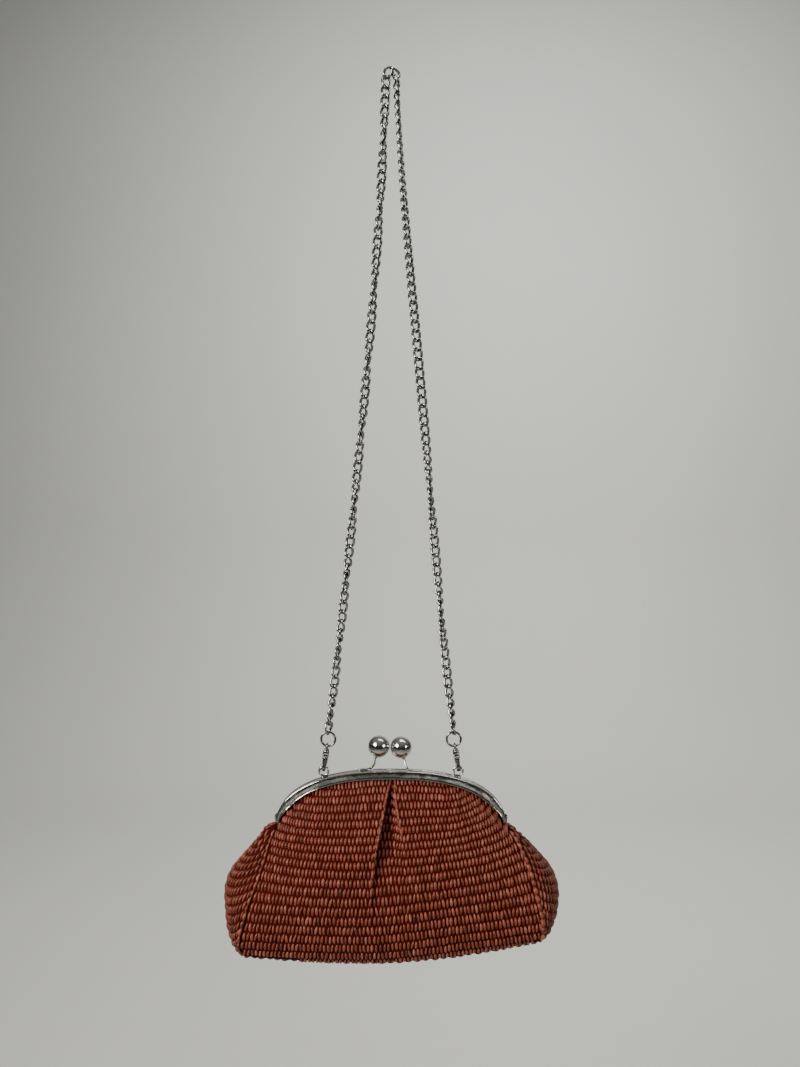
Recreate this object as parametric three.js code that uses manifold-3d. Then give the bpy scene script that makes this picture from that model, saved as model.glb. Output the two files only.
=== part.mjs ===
// Raffia clutch with a kiss-lock frame, hanging by its chain.
// Millimetres, +Z up, +X to the right, the front of the bag towards -Y.
// The origin is the point under the top of the chain where the chain hangs.
import * as THREE from 'three';
import { mergeVertices } from 'three/addons/utils/BufferGeometryUtils.js';
import Module from 'manifold-3d';

const wasm = await Module();
wasm.setup();

// Driving sizes: frame
const frameWidth = 198;        // tip to tip
const archRise = 43.5;         // top of the arch above its tips
const archCutOff = 8.5;        // how much further the curve would fall before its sides stood upright
const archPower = 2.4;         // 2 is an ellipse, more is squarer
const halfDepth = 5.2;         // one half of the frame, from the parting plane to its face
const sheet = 0.8;             // frame metal
const faceHeight = 7.1;        // visible band
const legHeight = 5;           // hidden leg beside the parting plane
const tipFace = 3.6;           // face and leg height at the hinged tips
const taperShare = 0.1;        // share of the arch over which the band narrows at each tip
const lipHeight = 1.1;         // rolled lower lip
const lipProud = 0.35;
const lipTuck = 0.1;           // how far the lip's lower edge turns back in
const bandCorner = 0.6;        // bevel along the top edge of the band
const clearance = 0.3;         // gap between pieces that touch on the real bag

// Driving sizes: hinges at the tips
const earHeight = 6.5;
const earReach = 1.8;          // how far an ear passes the parting plane
const earSheet = 0.8;
const rivetRadius = 1.1;
const rivetHeadRadius = 1.8;
const rivetHeadHeight = 0.7;

// Driving sizes: clasp
const ballDiameter = 18.4;
const ballGap = 0.5;           // between the two balls
const ballHeightBack = 20.3;   // centre of the back half's ball above the top of the arch
const ballHeightFront = 19;
const ballShift = -0.9;        // middle of the pair, to the left of the frame's middle
const ballStagger = 1;         // each ball's offset along Y after they have snapped past each other
const armWidth = 3;
const armThickness = 1.6;
const armFootLength = 17.5;    // from under the ball's centre to the far end of the foot
const collarRadius = 1.9;
const collarHeight = 1.2;
const boreDepth = 3.2;         // how far the arm goes into the ball
const armLean = 3;             // how far the arm leans out on its way down from the ball
const armRise = 4.4;             // height of the bend where the arm leaves the frame
const armShoulder = 1.1;       // height of the arm where it starts to leave the foot
const sink = 0.25;             // how deep soldered pieces run into each other

// Driving sizes: chain, rings and snap hooks
const chainWidth = 7;
const chainSides = 8;
const ringRadius = 6.05;       // to the middle of the wire
const ringWire = 1.7;
const eyeRadius = 2.2;
const eyeWire = 1.5;
const eyeletSpacing = 115.6;
const eyeletRadius = 3.9;
const eyeletWire = 1.9;
const eyeletY = 2.4;           // the eyelets stand on the back half
const eyeletPlay = 0.6;        // what the hook's flat bar needs inside the round eyelet
const hookWidth = 10.8;        // across the loop
const hookWire = 2.4;          // bar seen from the side of the loop
const hookThickTop = 5.2;
const hookThickBottom = 2.8;
const hookSlot = 11.6;         // clear length inside the loop
const hookBridge = 3;
const hookCollar = 1.4;
const hookCollarRadius = 2.5;
const shankRadius = 0.9;
const shankHeadRadius = 1.7;
const shankHeadHeight = 1.1;
const gatePinRadius = 0.65;
const gateThick = 2.6;         // along the pin
const gateDepth = 1.7;         // in the loop's plane
const gateDrop = 0.9;          // pin below the top of the slot
const noseHeight = 0.7;        // top of the nose above the centre of the bottom bend
const noseLip = 1.3;           // outer lip that stops the gate
const noseLipThickness = 0.6;
const gapUnderPin = 2;         // the gap in the front bar ends this far below the pin
const gateRoomOverPin = 2.2;   // room for the gate's eye above the pin
const shoulderLift = 1;        // how much the loop's top bend is raised
const gateEyeWall = 0.7;
const thumbReach = 1.4;
const thumbHeight = 1;

// Route of the chain from its left lower end over the hanging point to its right lower end:
// x and z of the middle of the chain
const chainRoute = [
  [-54, -563.2], [-51, -540], [-48, -516], [-44.4, -485], [-40.6, -451], [-36.9, -417], [-33.2, -383],
  [-29.8, -349], [-26.4, -314], [-23.1, -280], [-19.9, -245], [-16.9, -211], [-14.1, -177], [-11.6, -142],
  [-9.3, -108], [-7.4, -74], [-5.8, -40], [-4.9, -18], [-4.4, -5], [-3.1, 1.6], [0, 3.9], [3.1, 1.6],
  [4.4, -5], [5, -18], [6.3, -40], [8.6, -74], [11.2, -108], [14.2, -142], [17.3, -177], [20.5, -211],
  [23.7, -245], [26.8, -280], [29.9, -314], [32.9, -349], [35.9, -383], [38.8, -417], [41.9, -451],
  [45.2, -485], [48.4, -516], [51.1, -540], [54, -563.2],
];

const [chainEndX, chainEndZ] = chainRoute[chainRoute.length - 1];
const chainDrop = -chainEndZ;          // hanging point to the chain's lower ends
const chainEndSpread = 2 * chainEndX;

// Driving sizes: raffia
const wall = 2;                // raffia thickness
const bagHalfDepth = 52;       // parting plane to the fullest part of a panel
const panelDrop = 136;         // lip of the frame to the bottom edge, at the pleat
const seamDrop = 95;           // frame tips to the bottom corners
const seamHalfWidth = 122;     // widest place of a panel between its seams
const sectionPower = 2.4;      // how long a section stays full on its way out to the seam
const sinkPower = 1.2;         // shape of the pleat's rise from its sharp edge to its soft one
const gussetBulge = 27;        // fullest swell of the side outside the seams
const lipSwell = 3.2;          // the gusset's swell where it starts under the frame's tips
const bottomSag = 4;
const cornerSag = 2.8;         // sag at the bottom corners
const cornerShare = 0.2;       // share of the bottom over which the side's swell fades out
const saggingRows = 4;         // sections above the bottom over which the sag sets in
const tuckInset = 2.6;         // top edge of the raffia inside the channel
const tipTuckInset = 2.4;
const pleatDepth = 9;
const pleatStep = 1.4;         // width of the steep side of the pleat

// Sections of a panel from the frame down, as shares of the sizes named here: down (of panelDrop)
// and out (of bagHalfDepth) at the pleat; at each seam the drop below the tip (of seamDrop), the
// distance from the middle (of seamHalfWidth), the distance out (of bagHalfDepth) and the swell of
// the gusset (of gussetBulge); bend, how flat the section runs before it falls to the seam.
const sectionColumns = [
  'down', 'out', 'leftDrop', 'leftX', 'leftOut', 'leftSwell', 'rightDrop', 'rightX', 'rightOut',
  'rightSwell', 'bend',
];
const sections = [
  [0.042, 0.21, 0.037, 0.807, 0.13, 0.31, 0.047, 0.815, 0.13, 0.16, 3.4],
  [0.1, 0.38, 0.09, 0.828, 0.21, 0.36, 0.09, 0.852, 0.25, 0.19, 3],
  [0.18, 0.56, 0.153, 0.845, 0.32, 0.46, 0.147, 0.882, 0.35, 0.26, 2.8],
  [0.28, 0.71, 0.237, 0.862, 0.42, 0.62, 0.226, 0.914, 0.45, 0.38, 2.5],
  [0.395, 0.835, 0.332, 0.884, 0.52, 0.82, 0.321, 0.943, 0.54, 0.56, 2.2],
  [0.525, 0.93, 0.447, 0.914, 0.64, 1, 0.426, 0.966, 0.65, 0.76, 2],
  [0.665, 0.985, 0.574, 0.951, 0.75, 0.96, 0.542, 0.985, 0.76, 0.83, 1.9],
  [0.8, 1, 0.71, 0.98, 0.83, 0.78, 0.66, 1.004, 0.83, 0.73, 1.8],
  [0.91, 0.97, 0.832, 1.002, 0.86, 0.6, 0.755, 1.012, 0.86, 0.58, 1.7],
  [0.97, 0.92, 0.945, 1, 0.84, 0.4, 0.835, 1.006, 0.84, 0.42, 1.65],
  [1, 0.855, 1.02, 0.965, 0.77, 0.24, 0.893, 0.98, 0.77, 0.28, 1.6],
].map((row) => Object.fromEntries(row.map((value, i) => [sectionColumns[i], value])));

// The pleat from the frame down: down is a share of panelDrop, fold the place of its sharp edge and
// reach the width from there to the soft edge, as shares of seamHalfWidth, deep a share of pleatDepth
const pleat = [
  { down: 0, fold: -0.003, reach: 0.03, deep: 0.25 },
  { down: 0.1, fold: -0.03, reach: 0.075, deep: 0.85 },
  { down: 0.2, fold: -0.055, reach: 0.125, deep: 1 },
  { down: 0.33, fold: -0.09, reach: 0.2, deep: 0.75 },
  { down: 0.46, fold: -0.112, reach: 0.26, deep: 0.4 },
  { down: 0.6, fold: -0.12, reach: 0.3, deep: 0.12 },
  { down: 0.72, fold: -0.12, reach: 0.3, deep: 0 },
  { down: 1, fold: -0.1, reach: 0.3, deep: 0 },
];

// Photo colours
const nickel = { color: 0xc9c7c0, roughness: 0.14, metalness: 1 };
const chainNickel = { color: 0xa9a8a3, roughness: 0.26, metalness: 1 };
const raffia = { color: 0x8f3c28, roughness: 0.62, metalness: 0 };
const gussetRaffia = { color: 0x7f3322, roughness: 0.66, metalness: 0 };

const part = new THREE.Group();

function addPiece(name, geometry, look, parent = part) {
  const mesh = new THREE.Mesh(geometry, new THREE.MeshStandardMaterial(look));
  mesh.name = name;
  parent.add(mesh);
  return mesh;
}

// Solids: a closed mesh becomes a solid for cutting and joining, and goes back to a geometry
function toSolid(geometry) {
  const bare = geometry.clone();
  bare.deleteAttribute('normal');
  bare.deleteAttribute('uv');
  const merged = mergeVertices(bare, 1e-4);
  return new wasm.Manifold(new wasm.Mesh({
    numProp: 3,
    vertProperties: new Float32Array(merged.attributes.position.array),
    triVerts: new Uint32Array(merged.index.array),
  }));
}

function toGeometry(solid) {
  const mesh = solid.getMesh();
  const geometry = new THREE.BufferGeometry();
  geometry.setAttribute('position', new THREE.BufferAttribute(new Float32Array(mesh.vertProperties), 3));
  geometry.setIndex(new THREE.BufferAttribute(new Uint32Array(mesh.triVerts), 1));
  geometry.computeVertexNormals();
  return geometry;
}

function join(...geometries) {
  return toGeometry(geometries.map(toSolid).reduce((sum, next) => sum.add(next)));
}

function cut(geometry, ...tools) {
  return toGeometry(tools.map(toSolid).reduce((rest, tool) => rest.subtract(tool), toSolid(geometry)));
}

function keepInside(geometry, envelope) {
  return toGeometry(toSolid(geometry).intersect(toSolid(envelope)));
}

function moved(geometry, x, y, z) {
  return geometry.clone().translate(x, y, z);
}

// A closed mesh from points and triangles, turned inside out if its volume comes out negative
function closedMesh(points, triangles) {
  let volume = 0;
  for (const [a, b, c] of triangles) volume += points[a].dot(points[b].clone().cross(points[c]));
  const faces = volume < 0 ? triangles.map(([a, b, c]) => [a, c, b]) : triangles;
  const geometry = new THREE.BufferGeometry();
  const flat = points.flatMap((p) => [p.x, p.y, p.z]);
  geometry.setAttribute('position', new THREE.Float32BufferAttribute(flat, 3));
  geometry.setIndex(faces.flat());
  geometry.computeVertexNormals();
  return geometry;
}

// A solid carried through stations: stations is a list of rings, each ring the same outline placed in
// space, and outline the flat outline that closes both ends
function carried(stations, outline) {
  const n = outline.length;
  const points = stations.flat();
  const triangles = [];
  for (let i = 0; i + 1 < stations.length; i++) {
    for (let j = 0; j < n; j++) {
      const a = i * n + j;
      const b = i * n + ((j + 1) % n);
      triangles.push([a, b, b + n], [a, b + n, a + n]);
    }
  }
  const last = (stations.length - 1) * n;
  const clockwise = THREE.ShapeUtils.isClockWise(outline);
  for (const [a, b, c] of THREE.ShapeUtils.triangulateShape(outline, [])) {
    const first = clockwise ? [a, b, c] : [b, a, c];
    const end = clockwise ? [b, a, c] : [a, b, c];
    triangles.push(first, end.map((k) => last + k));
  }
  return closedMesh(points, triangles);
}

// A rod along an axis through the origin
function rod(radius, length, axis, sides = 12) {
  const geometry = new THREE.CylinderGeometry(radius, radius, length, sides);
  if (axis === 'x') geometry.rotateZ(Math.PI / 2);
  if (axis === 'z') geometry.rotateX(Math.PI / 2);
  return geometry;
}

// The same geometry, its Z axis turned to a direction
function turnedTo(direction, geometry) {
  const up = new THREE.Vector3(0, 0, 1);
  return geometry.applyQuaternion(new THREE.Quaternion().setFromUnitVectors(up, direction));
}

// Arch of the frame: a superellipse that is cut off before its sides stand upright
const fullRise = archRise + archCutOff;
const archEnd = Math.acos((archCutOff / fullRise) ** (archPower / 2));
const archHalfSpan = frameWidth / 2 / Math.sin(archEnd) ** (2 / archPower);

class Arch extends THREE.Curve {
  getPoint(t) {
    const angle = (2 * t - 1) * archEnd;
    const x = archHalfSpan * Math.sign(angle) * Math.abs(Math.sin(angle)) ** (2 / archPower);
    return new THREE.Vector3(x, 0, -fullRise * (1 - Math.cos(angle) ** (2 / archPower)));
  }
}
const arch = new Arch();
arch.arcLengthDivisions = 800;

function archFall(x) {
  return fullRise * (1 - (1 - Math.abs(x / archHalfSpan) ** archPower) ** (1 / archPower));
}

// Point inside the arch: share runs from the left tip to the right tip, inset is square to the curve
function archPoint(share, inset, y) {
  const point = arch.getPointAt(share);
  const tangent = arch.getTangentAt(share);
  return new THREE.Vector3(point.x + inset * tangent.z, y, point.z - inset * tangent.x);
}

// The band narrows towards each tip
function narrowed(share, full) {
  const fromTip = Math.min(share, 1 - share) / taperShare;
  const t = Math.min(fromTip, 1);
  return tipFace + (full - tipFace) * t * t * (3 - 2 * t);
}

// Heights that hang from the chain
const ringZ = -chainDrop - clearance - ringRadius - ringWire / 2;
const slotRadius = hookWidth / 2 - hookWire;
const eyeletWireUp = -slotRadius + eyeletWire / 2 + clearance + eyeletPlay;
const slotTop = hookSlot - slotRadius;
const collarTop = slotTop + hookBridge + hookCollar;
const eyeUp = collarTop + clearance + eyeRadius + eyeWire / 2;
const ringUp = eyeUp + eyeRadius - eyeWire / 2 - clearance - ringWire / 2 + ringRadius;
const hookLine = ringUp - eyeletWireUp;
const hookTilt = Math.asin((eyeletSpacing - chainEndSpread) / 2 / hookLine);
const eyeletZ = ringZ - hookLine * Math.cos(hookTilt) - eyeletRadius;
const frameTop = eyeletZ - eyeletRadius - eyeletWire / 2 + sink + archFall(eyeletSpacing / 2);
const tipZ = frameTop - archRise;

// Frame halves. side is -1 for the front half and 1 for the back half
const archSteps = 30;

function channelOutline(face, leg) {
  const open = clearance / 2;
  return [
    [0, open], [0, halfDepth - bandCorner], [bandCorner, halfDepth], [face - lipHeight, halfDepth],
    [face - lipHeight * 0.75, halfDepth + lipProud], [face - lipHeight * 0.2, halfDepth + lipProud],
    [face, halfDepth - lipTuck], [face, halfDepth - sheet], [sheet, halfDepth - sheet],
    [sheet, open + sheet], [leg, open + sheet], [leg, open],
  ].map(([inset, y]) => new THREE.Vector2(inset, y));
}

function channel(side) {
  const stations = [];
  for (let i = 0; i <= archSteps; i++) {
    const share = i / archSteps;
    const outline = channelOutline(narrowed(share, faceHeight), narrowed(share, legHeight));
    stations.push(outline.map((p) => archPoint(share, p.x, side * p.y)));
  }
  return carried(stations, channelOutline(tipFace, tipFace));
}

// Ear at a tip: a flat plate square to X that passes the parting plane, the front half's outside
const frontEarX = frameWidth / 2 - earSheet / 2;
const backEarX = frontEarX - earSheet - clearance;
const rivetZ = -archRise + earHeight / 2;

function ear(side, end) {
  const x = end * (side < 0 ? frontEarX : backEarX);
  const plate = new THREE.BoxGeometry(earSheet, halfDepth + earReach, earHeight);
  return moved(plate, x, side * (halfDepth - earReach) / 2, rivetZ);
}

function earRoom(side, end) {
  // the band is cut away round both ears and the rivet, between the parting plane and the end of the
  // other half's ear
  const inner = backEarX - earSheet / 2 - rivetHeadHeight - 2 * clearance;
  const outer = frontEarX + earSheet / 2 + clearance;
  const room = new THREE.BoxGeometry(outer - inner, earReach + clearance, earHeight + 2 * clearance);
  return moved(room, end * (inner + outer) / 2, side * (earReach + clearance) / 2, rivetZ);
}

// Clasp arm: a foot along the top of the frame, then up into the ball
const ballSpread = ballDiameter + ballGap;

function clasp(side) {
  // the front half carries the right ball
  const end = -side;
  const height = side < 0 ? ballHeightFront : ballHeightBack;
  const ball = new THREE.Vector3(ballShift + end * ballSpread / 2, side * -ballStagger, height);
  const footY = side * halfDepth / 2;
  const footX = (reach) => ball.x + end * reach;
  const onFrame = (reach, above) => new THREE.Vector3(
    footX(reach), footY, above - archFall(footX(reach)));
  const lean = new THREE.Vector3(end * armLean, 0, -ballDiameter / 2 - collarHeight);
  const direction = lean.clone().normalize();
  const under = ball.clone().add(lean);
  const centre = armThickness / 2 - sink;
  const route = new THREE.CatmullRomCurve3([
    onFrame(armFootLength, centre), onFrame(armFootLength * 0.7, centre),
    onFrame(3 * armLean, centre), onFrame(2 * armLean, centre + armShoulder),
    new THREE.Vector3(footX(1.3 * armLean), (footY + ball.y) / 2, centre + armRise),
    under, ball.clone().addScaledVector(direction, ballDiameter / 2 - boreDepth + clearance),
  ]);
  return { ball, route, direction };
}

function claspArm(side) {
  const { ball, route, direction } = clasp(side);
  const steps = 14;
  const sides = 8;
  const roundFrom = 0.6;   // the flat foot has become a round arm at this share of the route
  const cornerAt = 1 / Math.cos(Math.PI / sides);
  const outline = Array.from({ length: sides }, (_, i) => {
    const angle = (2 * Math.PI * (i + 0.5)) / sides;
    return new THREE.Vector2(Math.cos(angle) * cornerAt, Math.sin(angle) * cornerAt);
  });
  const across = new THREE.Vector3(0, 1, 0);
  const stations = [];
  for (let i = 0; i <= steps; i++) {
    const point = route.getPointAt(i / steps);
    const up = new THREE.Vector3().crossVectors(route.getTangentAt(i / steps), across).normalize();
    const round = Math.min(i / steps / roundFrom, 1);
    const halfWidth = (armWidth + (armThickness - armWidth) * round) / 2;
    stations.push(outline.map((p) => point.clone()
      .addScaledVector(across, p.x * halfWidth)
      .addScaledVector(up, p.y * armThickness / 2)));
  }
  const collar = turnedTo(direction, rod(collarRadius, collarHeight, 'z', 10));
  const under = ballDiameter / 2 + clearance + collarHeight / 2;
  const collarAt = ball.clone().addScaledVector(direction, under);
  return join(carried(stations, outline), moved(collar, ...collarAt));
}

function claspBall(side) {
  const { ball, direction } = clasp(side);
  const sphere = new THREE.SphereGeometry(ballDiameter / 2, 20, 12);
  const bore = turnedTo(direction, rod(armThickness / 2 + 2 * clearance, 2 * boreDepth, 'z', 8));
  const mouth = direction.clone().multiplyScalar(ballDiameter / 2);
  return { geometry: cut(sphere, moved(bore, ...mouth)), at: ball };
}

function eyelet(end) {
  const geometry = new THREE.TorusGeometry(eyeletRadius, eyeletWire / 2, 6, 18);
  geometry.rotateX(Math.PI / 2);
  return moved(geometry, end * eyeletSpacing / 2, eyeletY, eyeletZ - frameTop);
}

function frameHalf(side) {
  const band = cut(channel(side), earRoom(side, -1), earRoom(side, 1));
  const pieces = [band, ear(side, -1), ear(side, 1), claspArm(side)];
  if (side > 0) pieces.push(eyelet(-1), eyelet(1));
  const holes = [-1, 1].map((end) => moved(
    rod(rivetRadius + clearance, 6 * earSheet, 'x'), end * backEarX, 0, rivetZ));
  return cut(join(...pieces), ...holes);
}

function hingeRivet() {
  const stack = 2 * earSheet + 3 * clearance;
  const shaft = rod(rivetRadius, stack + rivetHeadHeight, 'x');
  const heads = [-1, 1].map((end) => moved(
    rod(rivetHeadRadius, rivetHeadHeight, 'x'), end * (stack + rivetHeadHeight) / 2, 0, 0));
  return join(shaft, ...heads);
}

const frame = new THREE.Group();
frame.position.z = frameTop;
part.add(frame);
addPiece('frame_front', frameHalf(-1), nickel, frame);
addPiece('frame_back', frameHalf(1), nickel, frame);
for (const [name, side] of [['clasp_ball_left', 1], ['clasp_ball_right', -1]]) {
  const { geometry, at } = claspBall(side);
  addPiece(name, geometry, nickel, frame).position.copy(at);
}
for (const [name, end] of [['hinge_rivet_left', -1], ['hinge_rivet_right', 1]]) {
  const rivet = addPiece(name, hingeRivet(), nickel, frame);
  rivet.position.set(end * (frontEarX + backEarX) / 2, 0, rivetZ);
}

// Snap hook in its own frame: the loop lies in the YZ plane, the centre of its bottom bend is the
// origin, the gate is on the front side (-Y), and X runs along the gate's pin
const gateY = -(slotRadius + hookWire / 2);
const pinZ = slotTop - gateDrop;

function arcPoints(radius, fromAngle, toAngle, steps, z = 0) {
  return Array.from({ length: steps + 1 }, (_, i) => {
    const a = fromAngle + ((toAngle - fromAngle) * i) / steps;
    return [radius * Math.cos(a), z + radius * Math.sin(a)];
  });
}

// Flat outline in Y and Z, carried along X by the given thickness and centred on X = 0
function plate(outline, thickness) {
  const shape = new THREE.Shape(outline.map(([y, z]) => new THREE.Vector2(y, z)));
  const geometry = new THREE.ExtrudeGeometry(shape, { depth: thickness, bevelEnabled: false });
  // the outline's x becomes Y, its y becomes Z and the depth becomes X
  const turn = new THREE.Matrix4().makeBasis(
    new THREE.Vector3(0, 1, 0), new THREE.Vector3(0, 0, 1), new THREE.Vector3(1, 0, 0));
  return geometry.applyMatrix4(turn).translate(-thickness / 2, 0, 0);
}

function hookBody() {
  const half = hookWidth / 2;
  const top = slotTop + hookBridge;
  const shoulder = top - half + shoulderLift;
  const chamfer = 1;
  const body = plate([
    ...arcPoints(half, -Math.PI, 0, 10),
    ...arcPoints(half, 0, Math.PI * 0.32, 3, shoulder),
    [hookCollarRadius, top], [-hookCollarRadius, top],
    ...arcPoints(half, Math.PI * 0.68, Math.PI, 3, shoulder),
  ], hookThickTop);
  const slot = plate([
    ...arcPoints(slotRadius, -Math.PI, 0, 8),
    [slotRadius, slotTop - chamfer], [slotRadius - chamfer, slotTop],
    [chamfer - slotRadius, slotTop], [-slotRadius, slotTop - chamfer],
  ], 2 * hookThickTop);
  // gap in the front bar, from the nose up to where the gate is pinned, and room for the gate
  const barGap = (width, depth, upTo) => moved(
    new THREE.BoxGeometry(width, depth, upTo - noseHeight), 0, gateY, (upTo + noseHeight) / 2);
  const gap = barGap(2 * hookThickTop, 2 * hookWire, pinZ - gapUnderPin);
  const gateRoom = barGap(gateThick + 2 * clearance, 3 * hookWire, pinZ + gateRoomOverPin);
  const bore = moved(rod(shankRadius + clearance, 2 * top, 'z', 10), 0, 0, top);
  // the body is thinner at its bottom: it stays inside a square taper
  const taper = new THREE.CylinderGeometry(
    hookThickTop / Math.SQRT2, hookThickBottom / Math.SQRT2, top + half, 4).rotateY(Math.PI / 4);
  taper.scale(1, 1, 4 * hookWidth / hookThickTop).rotateX(Math.PI / 2);
  const envelope = moved(taper, 0, 0, (top - half) / 2);
  const collar = rod(hookCollarRadius, hookCollar + sink, 'z', 14);
  const lipFoot = noseHeight - noseLip;
  const lipTop = noseHeight + noseLip;
  const lip = plate([
    [-half, lipFoot], [-half + noseLipThickness, lipFoot],
    [-half + noseLipThickness, lipTop], [-half + noseLipThickness / 3, lipTop],
  ], gateThick + clearance);
  const pin = moved(rod(gatePinRadius, hookThickTop - 2 * clearance, 'x', 10), 0, gateY, pinZ);
  const trimmed = cut(keepInside(body, envelope), slot, gap, gateRoom);
  const collared = join(trimmed, moved(collar, 0, 0, top + (hookCollar - sink) / 2));
  return join(cut(collared, bore), lip, pin);
}

// Gate lever: from its eye on the pin down to the nose, with a thumb piece at the top
function gateLever() {
  const outer = noseLipThickness + clearance - hookWidth / 2;
  const inner = outer + gateDepth;
  const foot = noseHeight + clearance;
  const eyeSize = gatePinRadius + clearance + gateEyeWall;
  const eyeTop = arcPoints(eyeSize, 0, Math.PI * 0.6, 4, pinZ).map(([y, z]) => [y + gateY, z]);
  const thumb = gateY - eyeSize;
  const lever = plate([
    [outer + gateDepth / 8, foot], [inner, foot], [inner, pinZ], ...eyeTop,
    [thumb - thumbReach / 3, pinZ + thumbHeight * 0.6], [thumb - thumbReach, pinZ + thumbHeight * 0.2],
    [thumb - thumbReach, pinZ - thumbHeight * 0.8], [thumb, pinZ - thumbHeight * 1.6],
    [outer, pinZ - thumbHeight * 2.6],
  ], gateThick);
  const hole = moved(rod(gatePinRadius + clearance, 2 * gateThick, 'x', 10), 0, gateY, pinZ);
  return cut(lever, hole);
}

// Swivel eye: ring, shank through the collar and a head inside the slot
function swivelEye() {
  const ring = new THREE.TorusGeometry(eyeRadius, eyeWire / 2, 6, 16).rotateY(Math.PI / 2);
  const headTop = slotTop - clearance;
  const shankTop = eyeUp - eyeRadius;
  const headFoot = headTop - shankHeadHeight;
  const shank = rod(shankRadius, shankTop - headFoot, 'z', 8);
  const head = rod(shankHeadRadius, shankHeadHeight, 'z', 10);
  return join(
    moved(ring, 0, 0, eyeUp), moved(shank, 0, 0, (shankTop + headFoot) / 2),
    moved(head, 0, 0, (headTop + headFoot) / 2));
}

for (const [side, end] of [['left', -1], ['right', 1]]) {
  const ringAt = new THREE.Vector3(end * chainEndSpread / 2, eyeletY, ringZ);
  const ring = new THREE.TorusGeometry(ringRadius, ringWire / 2, 6, 24).rotateX(Math.PI / 2);
  addPiece(`jump_ring_${side}`, ring, nickel).position.copy(ringAt);

  const hook = new THREE.Group();
  hook.rotation.y = end * -hookTilt;
  hook.position.copy(ringAt).add(new THREE.Vector3(0, 0, -ringUp).applyEuler(hook.rotation));
  part.add(hook);
  addPiece(`snap_hook_${side}`, hookBody(), nickel, hook);
  addPiece(`snap_gate_${side}`, gateLever(), nickel, hook);
  addPiece(`swivel_eye_${side}`, swivelEye(), nickel, hook);
}

// Chain: one tube of the chain's width along its route. The steps follow the route's points, so
// they are short in the bend over the hanging point.
class Route extends THREE.CatmullRomCurve3 {
  getUtoTmapping(u) {
    return u;
  }
}

function chainTube() {
  const points = chainRoute.map(([x, z]) => new THREE.Vector3(
    x, eyeletY * Math.max(-z, 0) / chainDrop, z));
  const outline = new THREE.Shape(Array.from({ length: chainSides }, (_, i) => {
    const angle = (2 * Math.PI * i) / chainSides;
    return new THREE.Vector2(Math.cos(angle), Math.sin(angle)).multiplyScalar(chainWidth / 2);
  }));
  return new THREE.ExtrudeGeometry(outline, {
    steps: 2 * (points.length - 1), bevelEnabled: false, extrudePath: new Route(points),
  });
}
addPiece('chain', chainTube(), chainNickel);

// Raffia. A panel is a grid of points from its top edge in the frame's channel down to the bottom
// edge, and from the left seam to the right one. Its front lies towards -Y; the back is its mirror.
const leftColumns = [-1, -0.93, -0.83, -0.7, -0.55, -0.4, -0.25, -0.12, -0.04];
const rightColumns = [0, 0.25, 0.5, 0.75, 1];   // across the pleat, as shares of its reach
const farColumns = [0.15, 0.32, 0.5, 0.66, 0.8, 0.92, 1];   // from the pleat to the right seam

function pleatAt(down) {
  const i = Math.max(pleat.findIndex((row) => row.down >= down), 1);
  const a = pleat[i - 1];
  const b = pleat[i];
  const t = (down - a.down) / (b.down - a.down);
  const mix = (key) => a[key] + (b[key] - a[key]) * t;
  return {
    fold: mix('fold') * seamHalfWidth,
    reach: mix('reach') * seamHalfWidth,
    deep: mix('deep') * pleatDepth,
  };
}

// Columns of the grid: signed share from the fold to a seam, and the place in the pleat from 0 to 1
function panelColumns(down) {
  const { fold, reach } = pleatAt(down);
  const pleatShare = reach / (seamHalfWidth - fold);
  const stepShare = pleatStep / (seamHalfWidth - fold);
  return [
    ...leftColumns.map((u) => ({ u, inPleat: -1 })),
    { u: 0, inPleat: -1 },
    ...rightColumns.map((t) => ({ u: stepShare + (pleatShare - stepShare) * t, inPleat: t })),
    ...farColumns.map((t) => ({ u: pleatShare + (1 - pleatShare) * t, inPleat: 1 })),
  ];
}

// A row inside the frame's channel, at the given depth under the top edge of the band
function tuckRow(inset) {
  const y = -(halfDepth - sheet - clearance);
  return panelColumns(0).map(({ u }) => {
    const share = (1 + u) / 2;
    return archPoint(share, inset(share), y).add(new THREE.Vector3(0, 0, frameTop));
  });
}

function sectionRow(row) {
  const { fold, deep } = pleatAt(row.down);
  const midZ = frameTop - faceHeight - row.down * panelDrop;
  const midY = -row.out * bagHalfDepth;
  return panelColumns(row.down).map(({ u, inPleat }) => {
    const left = u < 0;
    const t = Math.abs(u);
    const seamX = (left ? -row.leftX : row.rightX) * seamHalfWidth;
    const seamZ = tipZ - (left ? row.leftDrop : row.rightDrop) * seamDrop;
    const seamY = -(left ? row.leftOut : row.rightOut) * bagHalfDepth;
    const sunk = inPleat < 0 ? 0 : deep * (1 - inPleat) ** sinkPower;
    return new THREE.Vector3(
      fold + (seamX - fold) * t,
      midY + (seamY - midY) * t ** sectionPower + sunk,
      midZ + (seamZ - midZ) * t ** row.bend);
  });
}

const topInset = (share) => tipTuckInset
  + (tuckInset - tipTuckInset) * (narrowed(share, faceHeight) - tipFace) / (faceHeight - tipFace);
const lipInset = (share) => narrowed(share, faceHeight) + 2 * clearance;
const panelRows = [tuckRow(topInset), tuckRow(lipInset), ...sections.map(sectionRow)];
const lipRow = 1;         // under the frame's lip, where the gusset closes the bag's side
const firstSeamRow = 2;   // from here down the gusset stands out from the seam

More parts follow.
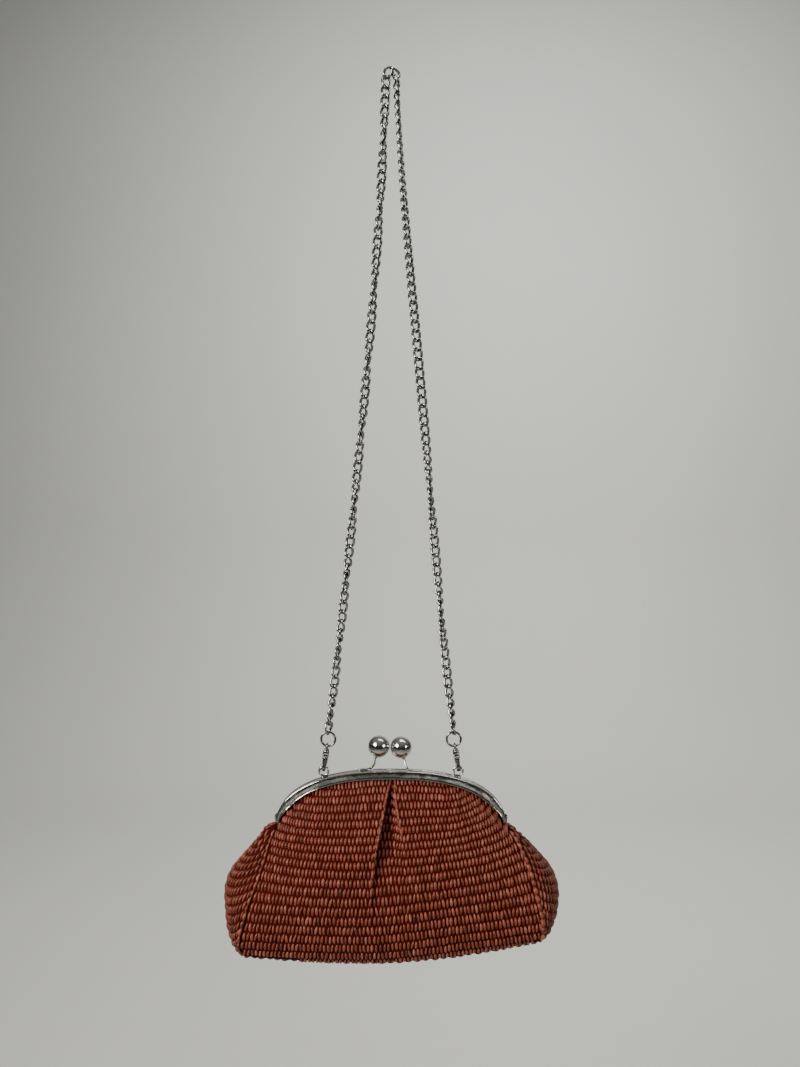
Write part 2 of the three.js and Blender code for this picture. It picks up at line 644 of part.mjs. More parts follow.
// The gusset runs along the panel's left seam, its bottom edge and its right seam. swell is how far
// it stands out from the seam line halfway between the two panels.
function gussetPath() {
  const lastRow = panelRows.length - 1;
  const bottom = panelRows[lastRow];
  const lastColumn = bottom.length - 1;
  const side = (i, column, sign, key) => {
    const sagging = Math.max(0, 1 - (lastRow - i) / saggingRows);
    const swell = i > lipRow ? sections[i - firstSeamRow][key] * gussetBulge : lipSwell;
    return {
      seam: panelRows[i][column],
      swell: new THREE.Vector3(sign * swell, 0, -sagging * cornerSag),
    };
  };
  const path = [];
  for (let i = lipRow; i <= lastRow; i++) path.push(side(i, 0, -1, 'leftSwell'));
  const leftCorner = side(lastRow, 0, -1, 'leftSwell').swell;
  const rightCorner = side(lastRow, lastColumn, 1, 'rightSwell').swell;
  const fade = (share) => Math.max(0, 1 - share / cornerShare) ** 2;
  for (let j = 1; j < lastColumn; j++) {
    const t = (bottom[j].x - bottom[0].x) / (bottom[lastColumn].x - bottom[0].x);
    const swell = new THREE.Vector3(0, 0, -bottomSag)
      .lerp(leftCorner, fade(t)).lerp(rightCorner, fade(1 - t));
    path.push({ seam: bottom[j], swell });
  }
  for (let i = lastRow; i >= lipRow; i--) path.push(side(i, lastColumn, 1, 'rightSwell'));
  return path;
}

const gussetColumns = [-1, -0.93, -0.76, -0.45, 0, 0.45, 0.76, 0.93, 1];

// Across the gusset w runs from -1 at one seam to 1 at the other
const gussetSwell = (w) => (1 - Math.abs(w) ** 2.2) ** 0.6;

function gussetRows() {
  return gussetPath().map(({ seam, swell }) => gussetColumns.map((w) => {
    const full = gussetSwell(w);
    return new THREE.Vector3(seam.x + swell.x * full, -seam.y * w, seam.z + swell.z * full);
  }));
}

// Normals of a grid, pointing away from the given inside point
function gridNormals(grid, inside) {
  return grid.map((row, i) => row.map((point, j) => {
    const along = grid[Math.min(i + 1, grid.length - 1)][j].clone().sub(grid[Math.max(i - 1, 0)][j]);
    const across = row[Math.min(j + 1, row.length - 1)].clone().sub(row[Math.max(j - 1, 0)]);
    const normal = along.cross(across).normalize();
    return normal.dot(point.clone().sub(inside)) < 0 ? normal.negate() : normal;
  }));
}

const bagInside = new THREE.Vector3(0, 0, tipZ - seamDrop / 2);
const spot = (p) => [p.x, p.y, p.z].map((value) => value.toFixed(3)).join(' ');

function mirrored(grid) {
  return grid.map((row) => row.map((p) => new THREE.Vector3(p.x, -p.y, p.z)));
}

// Where two pieces meet at a seam they share a normal, so that their inner faces meet too
function shareSeamNormals(pieces) {
  const sums = new Map();
  const visit = (action) => {
    for (const { grid, normals } of pieces) {
      grid.forEach((row, i) => row.forEach((p, j) => {
        const edge = i === 0 || j === 0 || i === grid.length - 1 || j === row.length - 1;
        if (edge) action(spot(p), normals[i], j);
      }));
    }
  };
  visit((key, row, j) => sums.set(key, (sums.get(key) ?? new THREE.Vector3()).add(row[j])));
  visit((key, row, j) => { row[j] = sums.get(key).clone().normalize(); });
}

// A wall from a grid: outer face, inner face one wall inside it, and the rim between them. The rim
// is drawn back by half the clearance, so that neighbours sewn to it stay apart.
function wallFromGrid({ grid, normals }) {
  const rows = grid.length;
  const columns = grid[0].length;
  const draw = (i, j) => {
    const inI = Math.min(Math.max(i, 1), rows - 2);
    const inJ = Math.min(Math.max(j, 1), columns - 2);
    const shift = new THREE.Vector3();
    if (inI !== i) shift.add(grid[inI][j].clone().sub(grid[i][j]).setLength(clearance / 2));
    if (inJ !== j) shift.add(grid[i][inJ].clone().sub(grid[i][j]).setLength(clearance / 2));
    return shift;
  };
  const outer = grid.map((row, i) => row.map((p, j) => p.clone().add(draw(i, j))));
  const inner = outer.map((row, i) => row.map(
    (p, j) => p.clone().addScaledVector(normals[i][j], -wall)));
  const points = [...outer.flat(), ...inner.flat()];
  const at = (i, j, layer) => layer * rows * columns + i * columns + j;
  const triangles = [];
  const quad = (a, b, c, d) => triangles.push([a, b, c], [a, c, d]);
  const last = columns - 1;
  for (let i = 0; i + 1 < rows; i++) {
    for (let j = 0; j + 1 < columns; j++) {
      // the diagonals lean the same way from the middle on both sides
      const outerCorners = [at(i, j, 0), at(i + 1, j, 0), at(i + 1, j + 1, 0), at(i, j + 1, 0)];
      const innerCorners = [at(i, j, 1), at(i, j + 1, 1), at(i + 1, j + 1, 1), at(i + 1, j, 1)];
      if (grid[i][j].x > 0) {
        outerCorners.push(outerCorners.shift());
        innerCorners.push(innerCorners.shift());
      }
      quad(...outerCorners);
      quad(...innerCorners);
    }
    quad(at(i, 0, 0), at(i, 0, 1), at(i + 1, 0, 1), at(i + 1, 0, 0));
    quad(at(i, last, 0), at(i + 1, last, 0), at(i + 1, last, 1), at(i, last, 1));
  }
  for (let j = 0; j + 1 < columns; j++) {
    quad(at(0, j, 0), at(0, j + 1, 0), at(0, j + 1, 1), at(0, j, 1));
    quad(at(rows - 1, j, 0), at(rows - 1, j, 1), at(rows - 1, j + 1, 1), at(rows - 1, j + 1, 0));
  }
  return closedMesh(points, triangles);
}

const raffiaPieces = [
  { name: 'raffia_front', look: raffia, grid: panelRows },
  { name: 'raffia_back', look: raffia, grid: mirrored(panelRows) },
  { name: 'raffia_gusset', look: gussetRaffia, grid: gussetRows() },
];
for (const piece of raffiaPieces) piece.normals = gridNormals(piece.grid, bagInside);
shareSeamNormals(raffiaPieces);
for (const piece of raffiaPieces) addPiece(piece.name, wallFromGrid(piece), piece.look);

export default part;
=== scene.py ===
"""Looks of a raffia clutch with a kiss-lock frame, hanging by its curb chain.

Lengths are in metres, +Z is up, +X is to the right and the front of the bag is towards -Y. The
origin is the point under the top of the chain where the chain hangs.
"""

import bpy
import numpy as np
from bpy.props import FloatProperty, FloatVectorProperty, IntProperty, PointerProperty
from bpy.types import Operator, Panel, PropertyGroup
from mathutils import Matrix


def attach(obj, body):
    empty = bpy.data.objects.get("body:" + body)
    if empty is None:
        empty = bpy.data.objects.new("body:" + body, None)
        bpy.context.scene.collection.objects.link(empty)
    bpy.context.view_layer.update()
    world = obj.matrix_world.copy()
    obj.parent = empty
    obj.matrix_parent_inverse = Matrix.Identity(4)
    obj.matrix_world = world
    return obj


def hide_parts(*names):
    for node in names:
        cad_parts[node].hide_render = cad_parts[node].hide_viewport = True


bl_info = {
    "name": "Raffia clutch on a chain",
    "version": (1, 0, 0),
    "blender": (4, 5, 0),
    "location": "3D View > Sidebar > Raffia clutch",
    "description": "Builds the woven raffia, the metal frame with its clasp, the hooks and the chain",
    "category": "Object",
}

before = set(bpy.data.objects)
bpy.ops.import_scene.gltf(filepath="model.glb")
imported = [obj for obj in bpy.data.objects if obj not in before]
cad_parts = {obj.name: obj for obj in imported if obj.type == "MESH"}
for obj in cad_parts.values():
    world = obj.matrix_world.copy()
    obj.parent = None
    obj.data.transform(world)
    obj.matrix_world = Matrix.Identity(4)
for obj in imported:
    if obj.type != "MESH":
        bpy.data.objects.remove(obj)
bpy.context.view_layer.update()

# Sizes that the looks share with the solids
FRAME_WIDTH = 0.198
ARCH_RISE = 0.0435
ARCH_CUT_OFF = 0.0085
ARCH_POWER = 2.4
HALF_DEPTH = 0.0052
SHEET = 0.0008
FACE_HEIGHT = 0.0071
LEG_HEIGHT = 0.005
TIP_FACE = 0.0036
TAPER_SHARE = 0.1
CLEARANCE = 0.0003
EAR_HEIGHT = 0.0065
EAR_REACH = 0.0018
EAR_SHEET = 0.0008
EYELET_SPACING = 0.1156
EYELET_RADIUS = 0.0039
EYELET_WIRE = 0.0019
CHAIN_Y = 0.0024
CHAIN_DROP = 0.5632
CHAIN_END_X = 0.054
BALL_SPREAD = 0.0189
BALL_SHIFT = -0.0009
BALL_STAGGER = 0.001
BALL_HEIGHT_BACK = 0.0203
BALL_HEIGHT_FRONT = 0.019
PANEL_DROP = 0.136
SEAM_DROP = 0.095
SEAM_HALF_WIDTH = 0.122
BAG_HALF_DEPTH = 0.052
GUSSET_BULGE = 0.027
BOTTOM_SAG = 0.004
CORNER_SAG = 0.0028
TUCK_INSET = 0.0026
TIP_TUCK_INSET = 0.0024
LIP_SWELL = 0.0032
SAGGING_ROWS = 4
ARM_SHOULDER = 0.0011
ARM_RISE = 0.0044
RING_RADIUS = 0.00605
RING_WIRE = 0.0017
EYE_RADIUS = 0.0022
EYE_WIRE = 0.0015
HOOK_WIDTH = 0.0108
HOOK_WIRE = 0.0024
HOOK_SLOT = 0.0116
HOOK_BRIDGE = 0.003
HOOK_COLLAR = 0.0014
PIN_DROP = 0.0009
EYELET_PLAY = 0.0006
SOLDER_SINK = 0.00025

# Sizes of the looks alone. The margins keep the grains' middles off the seams, the rows right of the
# pleat are counted from their own x, rings and swivel eyes are thicker than their solids by the wire
# gain, and the end links reach past the chain's route by the overhang.
PLEAT_DEPTH = 0.009
PLEAT_STEP = 0.0014
SEAM_MARGIN = 0.0019
GUSSET_MARGIN = 0.0012
RIGHT_ROWS_X = 0.03
SEAM_LEAN = 0.16
WIRE_GAIN = 1.15
LINK_OVERHANG = 0.0028
HOOK_BAR = 0.0034
HOOK_SHOULDER_GAIN = 0.002
HOOK_BODY = 0.014
HOOK_NOSE = 0.0019

# Camera: its place, level and looking along +Y, and the lens as the photo's distance in pixels
CAMERA_PLACE = (0.0077, -0.687, -0.3935)
FOCAL_PIXELS = 801
PHOTO_HEIGHT_PIXELS = 1067
SENSOR_WIDTH = 36

# Sections of a panel from the frame down, with the columns of the solids' table: down, out,
# leftDrop, leftX, leftOut, leftSwell, rightDrop, rightX, rightOut, rightSwell, bend
SECTIONS = np.array([
    [0.042, 0.21, 0.037, 0.807, 0.13, 0.31, 0.047, 0.815, 0.13, 0.16, 3.4],
    [0.1, 0.38, 0.09, 0.828, 0.21, 0.36, 0.09, 0.852, 0.25, 0.19, 3],
    [0.18, 0.56, 0.153, 0.845, 0.32, 0.46, 0.147, 0.882, 0.35, 0.26, 2.8],
    [0.28, 0.71, 0.237, 0.862, 0.42, 0.62, 0.226, 0.914, 0.45, 0.38, 2.5],
    [0.395, 0.835, 0.332, 0.884, 0.52, 0.82, 0.321, 0.943, 0.54, 0.56, 2.2],
    [0.525, 0.93, 0.447, 0.914, 0.64, 1, 0.426, 0.966, 0.65, 0.76, 2],
    [0.665, 0.985, 0.574, 0.951, 0.75, 0.96, 0.542, 0.985, 0.76, 0.83, 1.9],
    [0.8, 1, 0.71, 0.98, 0.83, 0.78, 0.66, 1.004, 0.83, 0.73, 1.8],
    [0.91, 0.97, 0.832, 1.002, 0.86, 0.6, 0.755, 1.012, 0.86, 0.58, 1.7],
    [0.97, 0.92, 0.945, 1, 0.84, 0.4, 0.835, 1.006, 0.84, 0.42, 1.65],
    [1, 0.855, 1.02, 0.965, 0.77, 0.24, 0.893, 0.98, 0.77, 0.28, 1.6],
])

# The pleat from the frame down: down, fold and reach (shares of the seam's half width) and depth
# (share of the pleat's)
PLEAT = np.array([
    [0, -0.003, 0.03, 0.25],
    [0.1, -0.03, 0.075, 0.85],
    [0.2, -0.055, 0.125, 1],
    [0.33, -0.09, 0.2, 1],
    [0.46, -0.112, 0.26, 0.66],
    [0.6, -0.12, 0.3, 0.2],
    [0.72, -0.12, 0.3, 0],
    [1, -0.1, 0.3, 0],
])

# Tilt of the weave's rows, as rise over run, by how far down the panel a row lies: far left,
# left of the pleat, across the pleat, right of the pleat, middle right, outer right
ROW_TILT = np.array([
    [0, 0.12, 0.1, 0, -0.12, 0.2, 0.2],
    [0.25, 0.05, 0.05, 0.05, 0.01, 0.21, 0.25],
    [0.5, 0, 0, 0.1, 0.08, 0.1, 0.2],
    [0.75, 0, 0, 0.11, 0.13, 0.08, 0.12],
    [1, 0, -0.01, 0.11, 0.13, 0.1, 0.08],
])
TILT_AT = np.array([-0.09, -0.035, 0.01, 0.04, 0.07, 0.1])

# Columns of a panel's grid: left of the fold with the fold as the last, across the pleat and right
# of it. One more column lies halfway down the pleat's step.
LEFT_COLUMNS = 61
PLEAT_COLUMNS = 21
RIGHT_COLUMNS = 52
FOLD_COLUMN = LEFT_COLUMNS - 1
PLEAT_END_COLUMN = LEFT_COLUMNS + PLEAT_COLUMNS
MIDDLE_COLUMN = LEFT_COLUMNS // 2

# Numbers of the panel's knots: its two tucked rows come first and its sections follow
LIP_KNOT = 1
FIRST_SECTION_KNOT = 2
SOFT_EDGE_END_KNOT = 5
FOLD_END_KNOT = 6

# Route of the middle of the chain, x and z, from its left lower end over the hanging point
CHAIN_ROUTE = np.array([
    [-0.054, -0.5632], [-0.051, -0.54], [-0.048, -0.516], [-0.0444, -0.485], [-0.0406, -0.451],
    [-0.0369, -0.417], [-0.0332, -0.383], [-0.0298, -0.349], [-0.0264, -0.314], [-0.0231, -0.28],
    [-0.0199, -0.245], [-0.0169, -0.211], [-0.0141, -0.177], [-0.0116, -0.142], [-0.0093, -0.108],
    [-0.0074, -0.074], [-0.0058, -0.04], [-0.0049, -0.018], [-0.0044, -0.005], [-0.0031, 0.0016],
    [0, 0.0039], [0.0031, 0.0016], [0.0044, -0.005], [0.005, -0.018], [0.0063, -0.04],
    [0.0086, -0.074], [0.0112, -0.108], [0.0142, -0.142], [0.0173, -0.177], [0.0205, -0.211],
    [0.0237, -0.245], [0.0268, -0.28], [0.0299, -0.314], [0.0329, -0.349], [0.0359, -0.383],
    [0.0388, -0.417], [0.0419, -0.451], [0.0452, -0.485], [0.0484, -0.516], [0.0511, -0.54],
    [0.054, -0.5632],
])

# Twist of the two strands: height, and half turns there. The links lie flat to the front where the
# number is whole.
LEFT_TWIST = np.array([
    [0.01, -0.3], [-0.022, 0], [-0.086, 1], [-0.146, 2], [-0.218, 3], [-0.276, 4], [-0.337, 5],
    [-0.404, 6], [-0.46, 7], [-0.523, 8], [-0.575, 9],
])
RIGHT_TWIST = np.array([
    [0.01, -0.7], [-0.03, -0.5], [-0.2, -0.15], [-0.305, 0.08], [-0.359, 0.5], [-0.409, 1],
    [-0.461, 1.5], [-0.511, 2], [-0.556, 2.5], [-0.575, 2.7],
])


# Shapes


def unit(vectors):
    """Vectors scaled to length one."""
    return vectors / np.maximum(np.linalg.norm(vectors, axis=-1, keepdims=True), 1e-12)


def smoothstep(t):
    """3t^2 - 2t^3, with t kept between 0 and 1."""
    t = np.clip(t, 0, 1)
    return t * t * (3 - 2 * t)


def curve_through(at, knots, values):
    """Cubic Hermite curve: between two knots the four Hermite polynomials weigh the end values and
    the end slopes, and a slope is the change over the stretches on both sides of its knot."""
    knots = np.asarray(knots, float)
    values = np.asarray(values, float)
    slopes = np.gradient(values, knots, axis=0)
    i = np.clip(np.searchsorted(knots, at, side="right") - 1, 0, len(knots) - 2)
    width = knots[i + 1] - knots[i]
    t = np.clip((at - knots[i]) / width, 0, 1)
    spread = (slice(None),) + (None,) * (values.ndim - 1)
    t, width = t[spread], width[spread]
    return (
        (2 * t**3 - 3 * t**2 + 1) * values[i]
        + (t**3 - 2 * t**2 + t) * width * slopes[i]
        + (3 * t**2 - 2 * t**3) * values[i + 1]
        + (t**3 - t**2) * width * slopes[i + 1]
    )


def lengths_along(points):
    """Distance from the first point to each point, along the line through them."""
    steps = np.linalg.norm(np.diff(points, axis=0), axis=1)
    return np.concatenate([[0], np.cumsum(steps)])


def evenly(points, count):
    """The same line with its points at even distances."""
    along = lengths_along(points)
    return curve_through(np.linspace(0, along[-1], count), along, points)


def grid_faces(rows, columns, around=False):
    """Quads of a grid of points stored row by row; around joins the last column to the first."""
    i = np.arange(rows - 1)[:, None]
    j = np.arange(columns if around else columns - 1)[None, :]
    a = i * columns + j
    b = i * columns + (j + 1) % columns
    return np.stack([a, b, b + columns, a + columns], axis=-1).reshape(-1, 4)


def grid_uvs(rows, columns, around=False, u_length=1.0, v_length=1.0):
    """Corners of the same quads: u along the columns and v along the rows, over the two lengths."""
    i = np.arange(rows - 1)[:, None]
    last = columns if around else columns - 1
    j = np.arange(last)[None, :]
    u0, u1 = np.broadcast_arrays(j / last, (j + 1) / last)
    v0, v1 = i / (rows - 1), (i + 1) / (rows - 1)
    shape = np.broadcast_shapes(i.shape, j.shape)
    corners = [(u0, v0), (u1, v0), (u1, v1), (u0, v1)]
    pairs = [
        np.stack([np.broadcast_to(u, shape) * u_length, np.broadcast_to(v, shape) * v_length], -1)
        for u, v in corners
    ]
    return np.stack(pairs, axis=2).reshape(-1, 4, 2)


class Shell:
    """A closed surface: points, blocks of faces with one number of corners each, their UVs, the
    material's place in the object's list and a tone for each point."""

    def __init__(self, points, blocks, slot=0, tone=0.5, smooth=True):
        self.points = np.asarray(points, float).reshape(-1, 3)
        self.blocks = [
            (np.asarray(faces), np.zeros(faces.shape + (2,)) if uvs is None else uvs)
            for faces, uvs in blocks
        ]
        self.slot = slot
        self.smooth = smooth
        self.tone = np.broadcast_to(np.asarray(tone, float), len(self.points))
        if self.volume() < 0:
            self.blocks = [(faces[:, ::-1], uvs[:, ::-1]) for faces, uvs in self.blocks]

    def volume(self):
        """Sum of the tetrahedra from the middle of the points to each face's fan of triangles."""
        p = self.points - self.points.mean(axis=0)
        total = 0.0
        for faces, _ in self.blocks:
            for k in range(1, faces.shape[1] - 1):
                a, b, c = p[faces[:, 0]], p[faces[:, k]], p[faces[:, k + 1]]
                total += np.einsum("ij,ij->", a, np.cross(b, c)) / 6
        return total

    def moved(self, offset):
        """The same shell in another place."""
        return self.placed(np.eye(3), offset)

    def placed(self, axes, origin):
        """The same shell with its X, Y and Z turned to three axes and its origin moved."""
        points = self.points @ np.asarray(axes, float) + np.asarray(origin, float)
        return Shell(points, self.blocks, self.slot, self.tone, self.smooth)


def make_object(name, shells, materials):
    """One object from shells, in the frame's coordinates and with its origin at the frame's."""
    points = np.concatenate([s.points for s in shells])
    tones = np.concatenate([s.tone for s in shells])
    corners, sizes, uvs, slots, smooth = [], [], [], [], []
    offset = 0
    for shell in shells:
        for faces, face_uvs in shell.blocks:
            corners.append((faces + offset).ravel())
            sizes.append(np.full(len(faces), faces.shape[1]))
            uvs.append(face_uvs.reshape(-1, 2))
            slots.append(np.full(len(faces), shell.slot))
            smooth.append(np.full(len(faces), shell.smooth))
        offset += len(shell.points)
    sizes = np.concatenate(sizes)
    mesh = bpy.data.meshes.new(name)
    mesh.vertices.add(len(points))
    mesh.vertices.foreach_set("co", points.astype(np.float32).ravel())
    mesh.loops.add(int(sizes.sum()))
    mesh.loops.foreach_set("vertex_index", np.concatenate(corners).astype(np.int32))
    mesh.polygons.add(len(sizes))
    mesh.polygons.foreach_set("loop_start", (np.cumsum(sizes) - sizes).astype(np.int32))
    mesh.polygons.foreach_set("material_index", np.concatenate(slots).astype(np.int32))
    mesh.polygons.foreach_set("use_smooth", np.concatenate(smooth))
    layer = mesh.uv_layers.new(name="UVMap")
    layer.data.foreach_set("uv", np.concatenate(uvs).astype(np.float32).ravel())
    tone = mesh.attributes.new("tone", "FLOAT", "POINT")
    tone.data.foreach_set("value", tones.astype(np.float32))
    mesh.update(calc_edges=True)
    mesh.validate()
    for material in materials:
        mesh.materials.append(material)
    piece = bpy.data.objects.new(name, mesh)
    bpy.context.scene.collection.objects.link(piece)
    return piece


def put_on(piece, body, slot, *nodes):
    """The piece rides on a body and stands for the named solids, which are hidden. The slot is not used."""
    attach(piece, body)
    if nodes:
        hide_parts(*nodes)
    return piece


def swept(centres, side, up, outline, around=False, smooth=True):
    """Outline carried along a line: centre + outline x times side + outline y times up. The ends
    are closed by flat caps, or joined to each other when around is true."""
    outline = np.broadcast_to(outline, (len(centres),) + np.shape(outline)[-2:])
    rings = (
        centres[:, None, :]
        + outline[..., 0:1] * side[:, None, :]
        + outline[..., 1:2] * up[:, None, :]
    )
    rows, columns = rings.shape[:2]
    if around:
        rings = np.concatenate([rings, rings[:1]])
        rows += 1
    length = lengths_along(rings[:, 0])[-1]
    girth = lengths_along(rings[0])[-1]
    faces = grid_faces(rows, columns, around=True)
    uvs = grid_uvs(rows, columns, True, girth, length)
    if around:
        faces = faces % ((rows - 1) * columns)
        return Shell(rings[:-1], [(faces, uvs)], smooth=smooth)
    first = np.arange(columns)[None, ::-1]
    last = np.arange(columns)[None, :] + (rows - 1) * columns
    return Shell(rings, [(faces, uvs), (first, None), (last, None)], smooth=smooth)


def round_outline(sides, width=1.0, height=1.0, power=2.0):
    """Superellipse: cosine and sine raised to 2/power, times half the width and height."""
    angle = 2 * np.pi * (np.arange(sides) + 0.5) / sides
    c, s = np.cos(angle), np.sin(angle)
    x = np.sign(c) * np.abs(c) ** (2 / power) * width / 2
    y = np.sign(s) * np.abs(s) ** (2 / power) * height / 2
    return np.stack([x, y], axis=-1)


def ring(radius, wire, around_steps, wire_sides, gap=0.0):
    """Torus in the XZ plane: a circle of wire carried round a circle, open over a share of the turn
    at its top where a gap is given."""
    span = 2 * np.pi * (1 - gap)
    turn = np.pi / 2 + gap * np.pi + span * np.arange(around_steps + (gap > 0)) / around_steps
    outward = np.stack([np.cos(turn), np.zeros_like(turn), np.sin(turn)], axis=-1)
    across = np.broadcast_to([0.0, 1.0, 0.0], outward.shape)
    outline = round_outline(wire_sides, wire, wire)
    return swept(radius * outward, outward, across, outline, around=not gap)


def turned(profile, sides):
    """Surface of revolution about Z: each (radius, height) of the profile swung round the axis.
    The first and last radius are zero and make one point each."""
    profile = np.asarray(profile, float)
    angle = 2 * np.pi * np.arange(sides) / sides
    inner = profile[1:-1]
    x = inner[:, 0:1] * np.cos(angle)
    y = inner[:, 0:1] * np.sin(angle)
    z = np.broadcast_to(inner[:, 1:2], x.shape)
    rings = np.stack([x, y, z], axis=-1).reshape(-1, 3)
    rows = len(inner)
    points = np.concatenate([rings, [[0, 0, profile[0, 1]], [0, 0, profile[-1, 1]]]])
    j = np.arange(sides)
    k = (j + 1) % sides
    start = np.stack([k, j, np.full(sides, rows * sides)], axis=-1)
    base = (rows - 1) * sides
    end = np.stack([base + j, base + k, np.full(sides, rows * sides + 1)], axis=-1)
    length = lengths_along(inner)[-1]
    body = grid_faces(rows, sides, around=True)
    uvs = grid_uvs(rows, sides, True, 2 * np.pi * inner[:, 0].max(), length)
    return Shell(points, [(body, uvs), (start, None), (end, None)])


def axes_to(direction):
    """Three axes, the third along a direction: rows to turn a shell's X, Y and Z to."""
    z = unit(np.asarray(direction, float))
    near = np.array([0.0, 1.0, 0.0]) if abs(z[1]) < 0.9 else np.array([1.0, 0.0, 0.0])
    x = unit(np.cross(near, z))
    return np.stack([x, np.cross(z, x), z])


# Arch of the frame

FULL_RISE = ARCH_RISE + ARCH_CUT_OFF
ARCH_END = np.arccos((ARCH_CUT_OFF / FULL_RISE) ** (ARCH_POWER / 2))
ARCH_HALF_SPAN = FRAME_WIDTH / 2 / np.sin(ARCH_END) ** (2 / ARCH_POWER)

ARCH_ANGLES = np.linspace(-ARCH_END, ARCH_END, 4001)
ARCH_LINE = np.stack([
    ARCH_HALF_SPAN * np.sign(ARCH_ANGLES) * np.abs(np.sin(ARCH_ANGLES)) ** (2 / ARCH_POWER),
    -FULL_RISE * (1 - np.cos(ARCH_ANGLES) ** (2 / ARCH_POWER)),
], axis=-1)
ARCH_ALONG = lengths_along(ARCH_LINE) / lengths_along(ARCH_LINE)[-1]


def arch_fall(x):
    """Height lost from the top of the arch at x, from the superellipse |x/a|^p + |z/b|^p = 1."""
    return FULL_RISE * (1 - (1 - np.abs(x / ARCH_HALF_SPAN) ** ARCH_POWER) ** (1 / ARCH_POWER))


def arch_at(share):
    """Point and unit tangent (x, z) at a share of the arch's length from its left tip."""
    point = np.stack([np.interp(share, ARCH_ALONG, ARCH_LINE[:, k]) for k in (0, 1)], axis=-1)
    ahead, behind = np.clip(share + 2e-3, 0, 1), np.clip(share - 2e-3, 0, 1)
    step = np.stack([
        np.interp(ahead, ARCH_ALONG, ARCH_LINE[:, k]) - np.interp(behind, ARCH_ALONG, ARCH_LINE[:, k])
        for k in (0, 1)
    ], axis=-1)
    return point, unit(step)


def narrowed(share, full):
    """Height of the band: full in the middle, easing to the tip's height near both ends."""
    t = smoothstep(np.minimum(share, 1 - share) / TAPER_SHARE)
    return TIP_FACE + (full - TIP_FACE) * t


# Heights that hang from the chain

RING_Z = -CHAIN_DROP - CLEARANCE - RING_RADIUS - RING_WIRE / 2
SLOT_RADIUS = HOOK_WIDTH / 2 - HOOK_WIRE
SLOT_TOP = HOOK_SLOT - SLOT_RADIUS
HOOK_RADIUS = SLOT_RADIUS + HOOK_WIRE / 2
PIN_Z = SLOT_TOP - PIN_DROP
COLLAR_TOP = SLOT_TOP + HOOK_BRIDGE + HOOK_COLLAR
EYE_UP = COLLAR_TOP + CLEARANCE + EYE_RADIUS + EYE_WIRE / 2
RING_UP = EYE_UP + EYE_RADIUS - EYE_WIRE / 2 - CLEARANCE - RING_WIRE / 2 + RING_RADIUS
HOOK_LINE = RING_UP + SLOT_RADIUS - EYE_WIRE / 2 - CLEARANCE - EYELET_PLAY
HOOK_TILT = np.arcsin((EYELET_SPACING / 2 - CHAIN_END_X) / HOOK_LINE)
EYELET_Z = RING_Z - HOOK_LINE * np.cos(HOOK_TILT) - EYELET_RADIUS
FRAME_TOP = (
    EYELET_Z - EYELET_RADIUS - EYELET_WIRE / 2 + SOLDER_SINK + arch_fall(EYELET_SPACING / 2)
)
TIP_Z = FRAME_TOP - ARCH_RISE


# Woven panels


def pleat_at(down):
    """Fold, reach and depth of the pleat, straight between the rows of its table."""
    fold, reach, deep = (np.interp(down, PLEAT[:, 0], PLEAT[:, k]) for k in (1, 2, 3))
    return fold * SEAM_HALF_WIDTH, reach * SEAM_HALF_WIDTH, deep * PLEAT_DEPTH


def panel_columns(down):
    """Shares u from the fold to the seams, -1 on the left and 1 on the right, and the place in the
    pleat: below 0 left of it, 0 to 1 across it and 1 past it."""
    fold, reach, _ = pleat_at(down)
    whole = SEAM_HALF_WIDTH - fold
    step, end = PLEAT_STEP / whole, reach / whole
    left = -np.linspace(1, 0, LEFT_COLUMNS)
    across = np.linspace(0, 1, PLEAT_COLUMNS)
    far = np.linspace(0, 1, RIGHT_COLUMNS + 1)[1:]
    u = np.concatenate([left, [step / 2], step + (end - step) * across, end + (1 - end) * far])
    place = np.concatenate([0 * left - 1, [-0.5], across, 0 * far + 1])
    return u, place


def tuck_row(inset):
    """Row of the panel inside the frame's channel, a given depth under the arch, square to it."""
    share = (1 + panel_columns(0)[0]) / 2
    point, tangent = arch_at(share)
    depth = inset(share)
    x = point[:, 0] + depth * tangent[:, 1]
    z = point[:, 1] - depth * tangent[:, 0] + FRAME_TOP
    y = np.full_like(x, -(HALF_DEPTH - SHEET - CLEARANCE))
    return np.stack([x, y, z], axis=-1)


def section_row(row):
    """Row of the panel: x straight from fold to seam, y and z easing there as a power of the share.
    Right of the fold the cloth drops by the pleat's depth, runs flat and rises again in an S."""
    down, out, left_drop, left_x, left_out, _, right_drop, right_x, right_out, _, bend = row
    u, place = panel_columns(down)
    fold, _, deep = pleat_at(down)
    t = np.abs(u)
    seam_x = np.where(u < 0, -left_x, right_x) * SEAM_HALF_WIDTH
    seam_y = -np.where(u < 0, left_out, right_out) * BAG_HALF_DEPTH
    seam_z = TIP_Z - np.where(u < 0, left_drop, right_drop) * SEAM_DROP
    mid_y, mid_z = -out * BAG_HALF_DEPTH, FRAME_TOP - FACE_HEIGHT - down * PANEL_DROP
    rise = smoothstep((place - 0.36) / 0.62)
    sunk = np.where(place < 0, 0.0, deep * (1 - rise))
    sunk = np.where(place == -0.5, deep / 2, sunk)
    return np.stack([
        fold + (seam_x - fold) * t,
        mid_y + (seam_y - mid_y) * t**2.4 + sunk,
        mid_z + (seam_z - mid_z) * t**bend,
    ], axis=-1)


